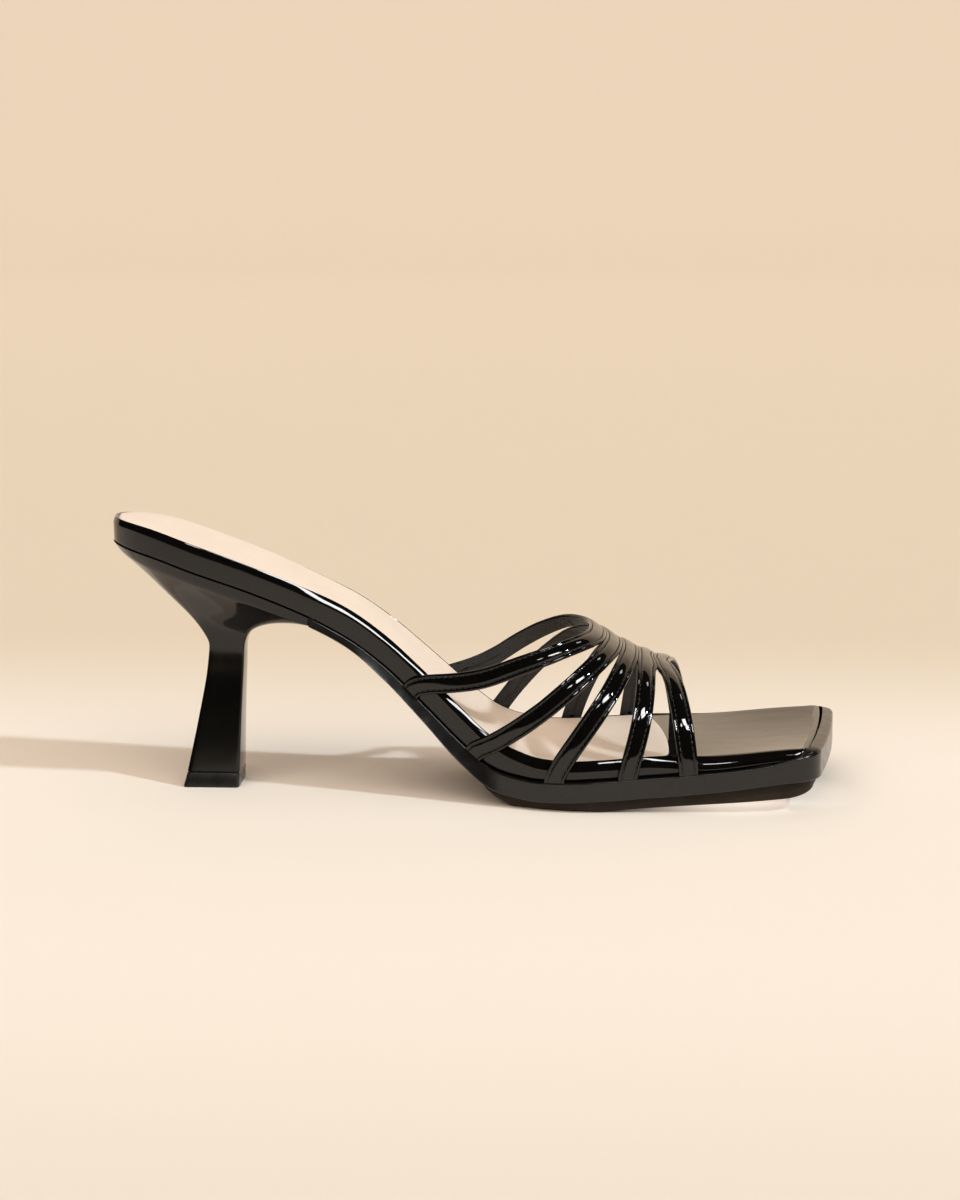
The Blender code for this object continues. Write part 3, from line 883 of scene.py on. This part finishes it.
def make_sole(sizes, colours):
    """The sole: a satin band with bevelled edges, a ledge, and a rounded lip at the toe."""
    rim = Rim(SOLE)
    side_rim = SOLE_LEDGE - JOINT_GAP

    def profile(k):
        s, side = rim.at[k]
        toe = rim.into_corner[k]
        share = ramp((s - RIM_START) / (RIM_END - RIM_START))
        width = mix(side_rim, LIP_WIDTH, toe)
        edge = sizes.sole_edge * mix(HEEL_BEVEL, 1.0, ramp((s - SOLE.back) / BEVEL_START))
        rounding = mix(edge, sizes.lip_round, toe)
        waist = 1 - ramp((s - WAIST_EASE) / (WAIST_END - WAIST_EASE))
        lean = min(sizes.waist_lean, ledge(s)) * waist if abs(side) == 1 else 0.0

        def rim_top(x):
            return mix(sole_floor(x), top(x), share)

        def lip_top(x):
            return mix(rim_top(x), top(x), toe)

        def slope(inset):
            return lambda x: mix(rim_top(x), lip_top(x), inset / width)

        inner = [
            Edge(width + JOINT_GAP / 2, sole_floor),
            Edge(width, lip_top),
            Edge(width - edge / 2, lip_top),
        ]
        shoulder = [
            Edge(lean + inset, below(slope(inset), drop)) for inset, drop in arc(rounding, ROUND_STEPS)
        ]
        face = [
            Edge(lean * LEAN_ABOVE, below(rim_top, rounding + edge / 2)),
            Edge(lean * LEAN_BELOW, below(sole_bottom, -edge * 3 / 2)),
        ]
        lower = [
            Edge(inset, below(sole_bottom, -drop)) for inset, drop in reversed(arc(edge, BEVEL_STEPS))
        ]
        return inner + shoulder + face + lower

    mat = satin_finish("sole_satin_side", colours.sole, 0.23)
    verts, faces = sweep(rim, profile, level(sole_floor), level(sole_bottom))
    return add_piece("sole_with_toe_lip", verts, faces, mat, ["sole"])


def make_tread(sizes, colours):
    """The tread under the forefoot, bevelled below and lifted at the toe."""
    rim = Rim(TREAD_EDGE)
    bevel = sizes.tread_bevel
    tread_top = below(sole_bottom, LAID_GAP)

    def edge_height(share):
        return lambda x: tread_bottom(x) + min(bevel, tread_top(x) - tread_bottom(x)) / 2 * share

    profile = [Edge(0.0, tread_top)]
    for i in range(ROUND_STEPS + 1):
        turn = pi / 2 * i / ROUND_STEPS
        profile.append(Edge(bevel * (1 - cos(turn)), edge_height(1 - sin(turn))))
    verts, faces = sweep(rim, lambda k: profile, level(tread_top), level(tread_bottom))
    return add_piece("forefoot_tread", verts, faces, rubber_finish(colours), ["tread"])


def heel_places():
    """Places along a heel section from its back (-1) to its front (1), closer at both ends."""
    return [-cos(pi * i / HEEL_POINTS) for i in range(HEEL_POINTS + 1)]


def heel_chain(back, front, width, back_square, front_square):
    """The points of half a heel section, from its back to its front."""
    points = []
    for u in heel_places():
        share = rounded(abs(u), back_square if u < 0 else front_square)
        spot = back.lerp(front, (1 + u) / 2)
        points.append(Vector((spot.x, width * share, spot.z)))
    return points


def seat_chain():
    """The heel's seat: the footbed's own outline, cut straight across at the front."""
    points = []
    for u in heel_places():
        s = mix(HEEL_BACK, HEEL_FRONT, (1 + u) / 2)
        width = half_width(FOOTBED, s, -1) * rounded(max(u, 0.0), HEEL_SECTIONS[0].front)
        points.append(Vector((s, width, sole_floor(s))))
    return points


def loft_heel(rings):
    """Close a solid over half sections, each mirrored about the heel's middle."""
    verts, faces = [], []
    size = 2 * HEEL_POINTS
    for ring in rings:
        verts += [(p.x, -p.y, p.z) for p in ring]
        verts += [(p.x, p.y, p.z) for p in reversed(ring[1:-1])]
    for r in range(len(rings) - 1):
        join_rings(faces, r * size, (r + 1) * size, size)
    for start in (0, (len(rings) - 1) * size):
        for i in range(HEEL_POINTS):
            near = (start + i, start + i + 1)
            far = (start + (size - i - 1) % size, start + (size - i) % size)
            faces.append(tuple(dict.fromkeys(near + far)))
    return verts, faces


def ease_rings(rings):
    """Draw each ring of the cup a little towards its neighbours, so that no section shows in its gloss."""
    eased = list(rings)
    for r in range(HEEL_STEPS, NECK_ROW * HEEL_STEPS):
        row = r / HEEL_STEPS
        share = ramp(row - 1) * ramp((NECK_ROW - row) / NECK_BLEND) / 2
        points = zip(rings[r - 1], rings[r], rings[r + 1])
        eased[r] = [here.lerp((before + after) / 2, share) for before, here, after in points]
    return eased


def make_heel(colours):
    """The flared heel: a wide cup under the seat, a slim neck and a widening column."""
    rows = [seat_chain()]
    for row in HEEL_SECTIONS:
        back = Vector((row.back_x, 0.0, row.back_z)) * MM
        front = Vector((row.front_x, 0.0, row.front_z)) * MM
        rows.append(heel_chain(back, front, row.half_width * MM, row.back, row.front))
    order = list(range(len(rows)))
    curves = []
    for chain in zip(*rows):
        curves.append([Curve(order, [spot[axis] for spot in chain]) for axis in range(3)])
    rings = []
    for step in range((len(rows) - 1) * HEEL_STEPS + 1):
        at = step / HEEL_STEPS
        rings.append([Vector([curve(at) for curve in point]) for point in curves])
    for _ in range(HEEL_EASE):
        rings = ease_rings(rings)
    verts, faces = loft_heel(rings)
    mat = gloss_finish("heel_lacquer", colours.heel)
    return add_piece("flared_heel", verts, faces, mat, ["heel"])


def make_top_lift(sizes, colours):
    """The flared top piece that the heel stands on, with softened edges."""
    foot = HEEL_SECTIONS[-1]
    bevel = sizes.tip_bevel
    rings = []
    for z, inset in ((TOP_LIFT_HEIGHT, bevel), (TOP_LIFT_HEIGHT - bevel, 0.0), (bevel, 0.0), (0.0, bevel)):
        flare = 1 - z / TOP_LIFT_HEIGHT
        back = Vector((foot.back_x * MM - TIP_FLARE_BACK * flare + inset, 0.0, z))
        front = Vector((foot.front_x * MM + TIP_FLARE_FRONT * flare - inset, 0.0, z))
        width = foot.half_width * MM + TIP_FLARE_SIDE * flare - inset
        rings.append(heel_chain(back, front, width, foot.back, foot.front))
    mat = satin_finish("top_lift_satin", colours.top_lift, 0.3)
    verts, faces = loft_heel(rings)
    return add_piece("heel_top_piece", verts, faces, mat, ["top_lift"])


def last_point(x, angle):
    """A point of the last's surface: -90 degrees is the lateral edge, 0 the crown."""
    side = -1 if angle < 0 else 1
    width = (lateral(x) if side < 0 else medial(x)) + STRAP_CLEARANCE
    turn = radians(min(abs(angle), 90.0))
    out = max(sin(turn), 0.0) ** (2 / LAST_FULLNESS)
    up = max(cos(turn), 0.0) ** (2 / LAST_FULLNESS)
    base = joint(x) + STRAP_CLEARANCE
    return Vector((x, side * width * out, mix(base, crown(x), up)))


def last_normal(x, angle):
    """The outward direction of the last's surface."""
    small, turn = 0.4 * MM, 0.6
    along = last_point(x + small, angle) - last_point(x - small, angle)
    across = last_point(x, min(angle + turn, 90.0)) - last_point(x, max(angle - turn, -90.0))
    return along.cross(across).normalized()


def strap_middle(strap, angle):
    """Where a strap's middle line lies along the shoe at an angle around the last."""
    down = abs(angle) / 90.0
    if angle > 0:
        return mix(strap.crown, strap.medial, down ** strap.medial_sweep) * MM
    share = down ** strap.lateral_sweep + strap.lateral_bow * down ** 3 * (1 - down)
    return mix(strap.crown, strap.lateral, share) * MM


def strap_reach(strap, angle, width):
    """Half a strap's width, measured along the shoe, so that the strap keeps its width."""
    turn, small = 0.5, 0.5 * MM
    before, after = max(angle - turn, -90.0), min(angle + turn, 90.0)
    run = last_point(strap_middle(strap, after), after) - last_point(strap_middle(strap, before), before)
    x = strap_middle(strap, angle)
    along = last_point(x + small, angle) - last_point(x - small, angle)
    across = along - run * (along.dot(run) / run.dot(run))
    return min(width / 2 * 2 * small / across.length, WIDEST_STRAP_END)


def strap_edges(angle, width):
    """The back and front edge of every strap at one angle; joined straps share an edge."""
    edges = []
    for strap in STRAPS:
        x, reach = strap_middle(strap, angle), strap_reach(strap, angle, width)
        edges.append([x - reach, x + reach])
    opened = ramp((abs(angle) - STRAP_JOIN_ANGLE) / STRAP_OPEN_ANGLE)
    for strap, after in zip(edges, edges[1:]):
        middle = (strap[1] + after[0]) / 2
        gap = max(after[0] - strap[1], 0.0) * opened
        strap[1], after[0] = middle - gap / 2, middle + gap / 2
    return edges


def strap_angles():
    """Angles of the straps' rows from the lateral to the medial foot, evenly spaced on the last."""
    evenly = 1.25
    angles = []
    for i in range(STRAP_ROWS + 1):
        v = 2 * i / STRAP_ROWS - 1
        angles.append(90.0 * abs(v) ** evenly * (-1 if v < 0 else 1))
    return angles


def dome(sizes, t):
    """How far a strap's middle swells between its two rows of stitches."""
    return sizes.strap_dome * max(1 - (abs(t) / seam_place(sizes)) ** DOME_FULLNESS, 0.0)


def strap_height(sizes, t):
    """Height of a strap's patent face: domed middle, stitch grooves and rounded margins."""
    half, groove = sizes.strap_width / 2, seam_place(sizes)
    a = abs(t)
    height = sizes.strap_wall + dome(sizes, t)
    into_groove = (a - groove) * half / sizes.groove_width
    height -= sizes.groove_depth * max(1 - into_groove * into_groove, 0.0)
    into_edge = max((a - 1) * half + sizes.strap_edge, 0.0)
    return height - sizes.strap_edge + sqrt(max(sizes.strap_edge ** 2 - into_edge ** 2, 0.0))


def strap_spot(edges, strap, angle, t, height):
    """A point of a strap, from its back edge (-1) to its front edge (+1), above the last."""
    back, front = edges[strap]
    x = mix(back, front, (t + 1) / 2)
    return last_point(x, angle) + last_normal(x, angle) * height


def strap_rows(sizes):
    """The rows over the straps from the lateral to the medial foot: angles and the straps' edges."""
    return [(angle, strap_edges(angle, sizes.strap_width)) for angle in strap_angles()]


def seam_place(sizes):
    """Where the rows of stitches run on a strap, as a share of its half width."""
    return 1 - sizes.strap_margin / (sizes.strap_width / 2)


def seam(sizes, rows, strap, t):
    """The points of one row of stitches, in its groove along a strap."""
    height = strap_height(sizes, t) + sizes.thread_width * STITCH_LIFT
    return [strap_spot(edges, strap, angle, t, height) for angle, edges in rows]


def drawn_in(sizes, rows, strap):
    """How far the patent is drawn in: most between two stitches, and flat towards the strap's feet."""
    depths = {}
    for side in (-1, 1):
        path = seam(sizes, rows, strap, side * seam_place(sizes))
        run, depths[side] = 0.0, []
        for spot, after in zip(path, path[1:] + path[-1:]):
            turn = 2 * pi * (run / sizes.stitch_pitch - 0.5)
            depths[side].append(sizes.pucker * (1 + cos(turn)) / 2)
            run += (after - spot).length

    def depth(row, t):
        away = (abs(t) - seam_place(sizes)) * sizes.strap_width / 2
        angle = abs(rows[row][0])
        flat = FOOT_FLAT * ramp((angle - FOOT_START) / FOOT_BLEND)
        flat += CROWN_FLAT * (1 - ramp((angle - CROWN_END) / CROWN_BLEND))
        return depths[-1 if t < 0 else 1][row] * exp(-(away / PUCKER_REACH) ** 2) + dome(sizes, t) * flat

    return depth


def strip(rows, section, strap, depth=None):
    """Sweep a closed section along a strap; its ends stand on the sole's ledge."""
    lines = []
    for row, (angle, edges) in enumerate(rows):
        line = []
        for t, height in section:
            drop = depth(row, t) if depth else 0.0
            line.append(strap_spot(edges, strap, angle, t, height - drop))
        lines.append(line)
    for end, line in ((0, lines[0]), (len(lines), lines[-1])):
        foot = [Vector((p.x, p.y, sole_floor(p.x) + LAID_GAP)) for p in line]
        lines.insert(end, foot)
    return lines


def bridge(rows, verts, faces):
    """Join rows of closed sections into one tube with closed ends."""
    start, size = len(verts), len(rows[0])
    for row in rows:
        verts += [tuple(p) for p in row]
    for r in range(len(rows) - 1):
        join_rings(faces, start + r * size, start + (r + 1) * size, size)
    faces.append(tuple(range(start, start + size)))
    faces.append(tuple(range(start + (len(rows) - 1) * size, start + len(rows) * size)))


def make_straps(sizes, colours):
    """Five patent straps that fan out from the vamp's crown, where they lie edge to edge."""
    across = [2 * i / STRAP_COLUMNS - 1 for i in range(STRAP_COLUMNS + 1)]
    section = [(t, strap_height(sizes, t)) for t in across]
    section += [(t, sizes.lining) for t in (1.0, 0.5, 0.0, -0.5, -1.0)]
    verts, faces = [], []
    rows = strap_rows(sizes)
    for strap in range(len(STRAPS)):
        bridge(strip(rows, section, strap, drawn_in(sizes, rows, strap)), verts, faces)
    mat = patent_finish("strap_patent_gloss", colours.patent, 0.05 * MM)
    return add_piece("patent_straps", verts, faces, mat, ["upper"], 60)


def make_linings(sizes, colours):
    """The leather that lines the straps, cut a little narrower than they are."""
    inner, reach = 0.02 * MM, 0.93
    outer = sizes.lining - inner
    places = (-1.0, -0.6, -0.2, 0.2, 0.6, 1.0)
    section = [(t * reach, outer) for t in places] + [(t * reach, inner) for t in reversed(places)]
    verts, faces = [], []
    rows = strap_rows(sizes)
    for strap in range(len(STRAPS)):
        bridge(strip(rows, section, strap), verts, faces)
    return add_piece("strap_linings", verts, faces, lining_finish(colours), (), 60)


def stitch(verts, faces, centre, along, out, sizes):
    """One stitch: a short length of thread, pointed where it enters the leather."""
    side = along.cross(out).normalized()
    start = len(verts)
    for ring in range(STITCH_RINGS):
        v = 2 * ring / (STITCH_RINGS - 1) - 1
        radius = sizes.thread_width / 2 * sqrt(max(1 - STITCH_TAPER * v * v, 0.0))
        middle = centre + along * (v * sizes.stitch_length / 2)
        middle -= out * (v * v * sizes.thread_width * STITCH_DIP)
        for i in range(STITCH_SIDES):
            turn = 2 * pi * i / STITCH_SIDES
            verts.append(tuple(middle + side * (radius * cos(turn)) + out * (radius * sin(turn))))
    for ring in range(STITCH_RINGS - 1):
        first = start + ring * STITCH_SIDES
        join_rings(faces, first, first + STITCH_SIDES, STITCH_SIDES)
    for ring in (0, STITCH_RINGS - 1):
        first = start + ring * STITCH_SIDES
        faces.append(tuple(range(first, first + STITCH_SIDES)))


def make_stitches(sizes, colours):
    """Two rows of stitches along every strap, in the grooves beside its domed middle."""
    verts, faces = [], []
    rows = strap_rows(sizes)
    for strap in range(len(STRAPS)):
        for t in (-seam_place(sizes), seam_place(sizes)):
            path = seam(sizes, rows, strap, t)
            outs = [last_normal(mix(*edges[strap], (t + 1) / 2), angle) for angle, edges in rows]
            run, due = 0.0, sizes.stitch_pitch
            for i in range(len(path) - 1):
                step = path[i + 1] - path[i]
                while due <= run + step.length:
                    share = (due - run) / step.length
                    out = outs[i].lerp(outs[i + 1], share).normalized()
                    along = (step - out * step.dot(out)).normalized()
                    stitch(verts, faces, path[i] + step * share, along, out, sizes)
                    due += sizes.stitch_pitch
                run += step.length
    return add_piece("strap_stitches", verts, faces, thread_finish(colours), (), 80)


def painted_toe_light(finish, x, y, studio):
    """Painted light under the raised toe, where the floor glows: a soft painted pool, and a painted share
    that fills the toe's own shadow.
    """
    place = finish.node(
        "Mapping", {"vector_type": "TEXTURE"}, Vector=finish.spot, Location=TOE_SPOT, Scale=TOE_SPOT_REACH
    )
    reach = finish.node("VectorMath", {"operation": "LENGTH"}, Vector=place.outputs["Vector"])
    away = reach.outputs["Value"]
    pool = finish.ease(away, POOL_CORE, 1.0, studio.painted_pool, 0.0)
    pool = finish.combine("MULTIPLY", pool, finish.ease(y, POOL_FRONT, POOL_BACK, 1.0, POOL_SHARE))
    near = finish.ease(away, FILL_CORE, FILL_END, studio.painted_shadow_fill, 0.0)
    depth = finish.combine("MULTIPLY_ADD", x, SHADOW_SLANT, y)
    front = finish.ease(depth, SHADOW_FRONT - SHADOW_EDGE, SHADOW_FRONT + SHADOW_EDGE, 0.0, 1.0)
    right = finish.ease(x, SHADOW_RIGHT - SHADOW_EDGE, SHADOW_RIGHT + SHADOW_EDGE, 1.0, 0.0)
    fill = finish.combine("MULTIPLY", near, finish.combine("MULTIPLY", front, right))
    return finish.combine("ADD", pool, fill)


def stage_finish(studio):
    """Matt paper: the floor's tone eases into the backdrop's, and the floor glows with painted light under
    the toe.
    """
    finish = Finish("stage_paper", studio.floor, 0.9)
    split = finish.node("SeparateXYZ", Vector=finish.spot)
    x, y = split.outputs["X"], split.outputs["Y"]
    tone = (*studio.floor, 1.0)
    # The near tone is painted shade: the floor darkens towards the camera
    for start, end, name in TONES:
        tone = finish.blend(finish.ease(y, start, end, 0.0, 1.0), tone, (*getattr(studio, name), 1.0))
    # Painted light: the floor glows under the toe in place of bounced light and over the toe's own shadow
    painted_toe_glow = painted_toe_light(finish, x, y, studio)
    finish.set(Specular_IOR_Level=0.1, Base_Color=tone)
    finish.set(Emission_Color=(*studio.floor, 1.0), Emission_Strength=painted_toe_glow)
    return finish.material


def add_sheet(name, outline, mat):
    """A sheet of the stage, swept sideways from an outline of (y, z) points."""
    verts = [(x, y, z) for y, z in outline for x in (-STAGE_HALF, STAGE_HALF)]
    faces = [(2 * i, 2 * i + 1, 2 * i + 3, 2 * i + 2) for i in range(len(outline) - 1)]
    mesh = bpy.data.meshes.new(name)
    mesh.from_pydata(verts, [], faces)
    mesh.materials.append(mat)
    mesh.shade_smooth()
    sheet = bpy.data.objects.new(name, mesh)
    bpy.context.scene.collection.objects.link(sheet)
    return sheet


def make_floor(studio):
    """A floor that sweeps up into a backdrop far behind the shoe."""
    outline = [(FLOOR_NEAR, 0.0)]
    for i in range(BEND_STEPS + 1):
        turn = pi / 2 * i / BEND_STEPS
        outline.append((FLOOR_BEND + BEND_RADIUS * sin(turn), BEND_RADIUS * (1 - cos(turn))))
    outline.append((FLOOR_BEND + BEND_RADIUS, BACKDROP_HEIGHT))
    add_sheet("stage_floor", outline, stage_finish(studio))


def make_flag():
    """A dark card in front of the shoe that only its reflections see."""
    mat = Finish("stage_flag", FLAG_SHADE, 1.0).material
    flag = add_sheet("stage_flag", [(FLOOR_NEAR, FLAG_HEIGHT), (FLAG_EDGE, FLAG_HEIGHT)], mat)
    flag.visible_camera = False
    flag.visible_diffuse = False
    flag.visible_transmission = False
    flag.visible_shadow = False


def place_around(row, distance):
    """The place of a light of the tables, so many metres from the shoe."""
    turn, rise = radians(row.azimuth), radians(row.elevation)
    return Vector((sin(turn) * cos(rise), -cos(turn) * cos(rise), sin(rise))) * distance


def place_light(data, place):
    light = bpy.data.objects.new(data.name, data)
    light.location = place
    light.rotation_euler = (-place).to_track_quat("-Z", "Y").to_euler()
    light.visible_camera = False
    bpy.context.scene.collection.objects.link(light)
    return light


def add_sun(row, studio):
    """A light that falls evenly over the stage; only a small one shows in reflections."""
    data = bpy.data.lights.new(row.name, "SUN")
    data.color = getattr(studio, row.colour)
    data.energy = getattr(studio, row.strength)
    data.angle = radians(row.width)
    light = place_light(data, place_around(row, SUN_DISTANCE))
    light.visible_glossy = row.width < SMALL_LIGHT


def add_softbox(row):
    """A softbox that only shows as a highlight on the gloss."""
    data = bpy.data.lights.new(row.name, "AREA")
    data.shape = "RECTANGLE"
    data.size, data.size_y = row.width, row.height
    data.energy = row.power
    place_light(data, place_around(row, SOFTBOX_DISTANCE)).visible_diffuse = False


def add_inner_fill(studio):
    """A small light under the straps that falls on the sock, as bounced light would."""
    data = bpy.data.lights.new("fill_inner", "AREA")
    data.shape = "RECTANGLE"
    data.size, data.size_y = INNER_FILL_SIZE
    data.color = studio.warm
    data.energy = studio.inner
    light = place_light(data, Vector(INNER_FILL_PLACE))
    light.rotation_euler = (0.0, 0.0, 0.0)
    light.visible_glossy = False


def make_camera():
    data = bpy.data.cameras.new("camera")
    data.sensor_fit = "HORIZONTAL"
    data.sensor_width = SENSOR_WIDTH
    data.lens = CAMERA_LENS
    camera = bpy.data.objects.new("camera", data)
    camera.location = CAMERA_PLACE
    look = Vector(CAMERA_TARGET) - Vector(CAMERA_PLACE)
    camera.rotation_euler = look.to_track_quat("-Z", "Y").to_euler()
    bpy.context.scene.collection.objects.link(camera)
    bpy.context.scene.camera = camera


def make_world():
    world = bpy.data.worlds.new("studio")
    world.use_nodes = True
    shader = world.node_tree.nodes["Background"]
    shader.inputs["Color"].default_value = SURROUND
    shader.inputs["Strength"].default_value = SURROUND_STRENGTH
    bpy.context.scene.world = world


class MULE_OT_footbed(bpy.types.Operator):
    """Build the wrapped footbed"""

    bl_idname = "mule.footbed"
    bl_label = "Footbed"

    def execute(self, context):
        make_footbed(context.scene.mule_sizes, context.scene.mule_colours)
        return {"FINISHED"}


class MULE_OT_sock(bpy.types.Operator):
    """Build the sock lining"""

    bl_idname = "mule.sock"
    bl_label = "Sock"

    def execute(self, context):
        make_sock(context.scene.mule_sizes, context.scene.mule_colours)
        return {"FINISHED"}


class MULE_OT_sole(bpy.types.Operator):
    """Build the sole and its tread"""

    bl_idname = "mule.sole"
    bl_label = "Sole and tread"

    def execute(self, context):
        make_sole(context.scene.mule_sizes, context.scene.mule_colours)
        make_tread(context.scene.mule_sizes, context.scene.mule_colours)
        return {"FINISHED"}


class MULE_OT_heel(bpy.types.Operator):
    """Build the heel and its top piece"""

    bl_idname = "mule.heel"
    bl_label = "Heel and top piece"

    def execute(self, context):
        make_heel(context.scene.mule_colours)
        make_top_lift(context.scene.mule_sizes, context.scene.mule_colours)
        return {"FINISHED"}


class MULE_OT_straps(bpy.types.Operator):
    """Build the straps and their linings"""

    bl_idname = "mule.straps"
    bl_label = "Straps and linings"

    def execute(self, context):
        make_straps(context.scene.mule_sizes, context.scene.mule_colours)
        make_linings(context.scene.mule_sizes, context.scene.mule_colours)
        return {"FINISHED"}


class MULE_OT_stitches(bpy.types.Operator):
    """Sew the straps"""

    bl_idname = "mule.stitches"
    bl_label = "Stitches"

    def execute(self, context):
        make_stitches(context.scene.mule_sizes, context.scene.mule_colours)
        return {"FINISHED"}


class MULE_OT_stage(bpy.types.Operator):
    """Set the floor, the lights and the camera"""

    bl_idname = "mule.stage"
    bl_label = "Stage"

    def execute(self, context):
        studio = context.scene.mule_studio
        make_floor(studio)
        make_flag()
        make_world()
        make_camera()
        for row in SUNS:
            add_sun(row, studio)
        for row in SOFTBOXES:
            add_softbox(row)
        add_inner_fill(studio)
        context.scene.view_settings.view_transform = "Standard"
        return {"FINISHED"}


OPERATORS = (
    MULE_OT_footbed,
    MULE_OT_sock,
    MULE_OT_sole,
    MULE_OT_heel,
    MULE_OT_straps,
    MULE_OT_stitches,
    MULE_OT_stage,
)


class MULE_PT_pieces(bpy.types.Panel):
    """The pieces of the mule"""

    bl_label = "Heeled mule"
    bl_space_type = "VIEW_3D"
    bl_region_type = "UI"
    bl_category = "Mule"

    def draw(self, context):
        for operator in OPERATORS:
            self.layout.operator(operator.bl_idname)


GROUPS = (MuleSizes, MuleColours, MuleStudio)
CLASSES = (*GROUPS, *OPERATORS, MULE_PT_pieces)


def register():
    for cls in CLASSES:
        bpy.utils.register_class(cls)
    bpy.types.Scene.mule_sizes = PointerProperty(type=MuleSizes)
    bpy.types.Scene.mule_colours = PointerProperty(type=MuleColours)
    bpy.types.Scene.mule_studio = PointerProperty(type=MuleStudio)


def unregister():
    del bpy.types.Scene.mule_studio
    del bpy.types.Scene.mule_colours
    del bpy.types.Scene.mule_sizes
    for cls in reversed(CLASSES):
        bpy.utils.unregister_class(cls)


def main():
    register()
    bpy.ops.mule.footbed()
    bpy.ops.mule.sock()
    bpy.ops.mule.sole()
    bpy.ops.mule.heel()
    bpy.ops.mule.straps()
    bpy.ops.mule.stitches()
    bpy.ops.mule.stage()


if __name__ == "__main__":
    main()
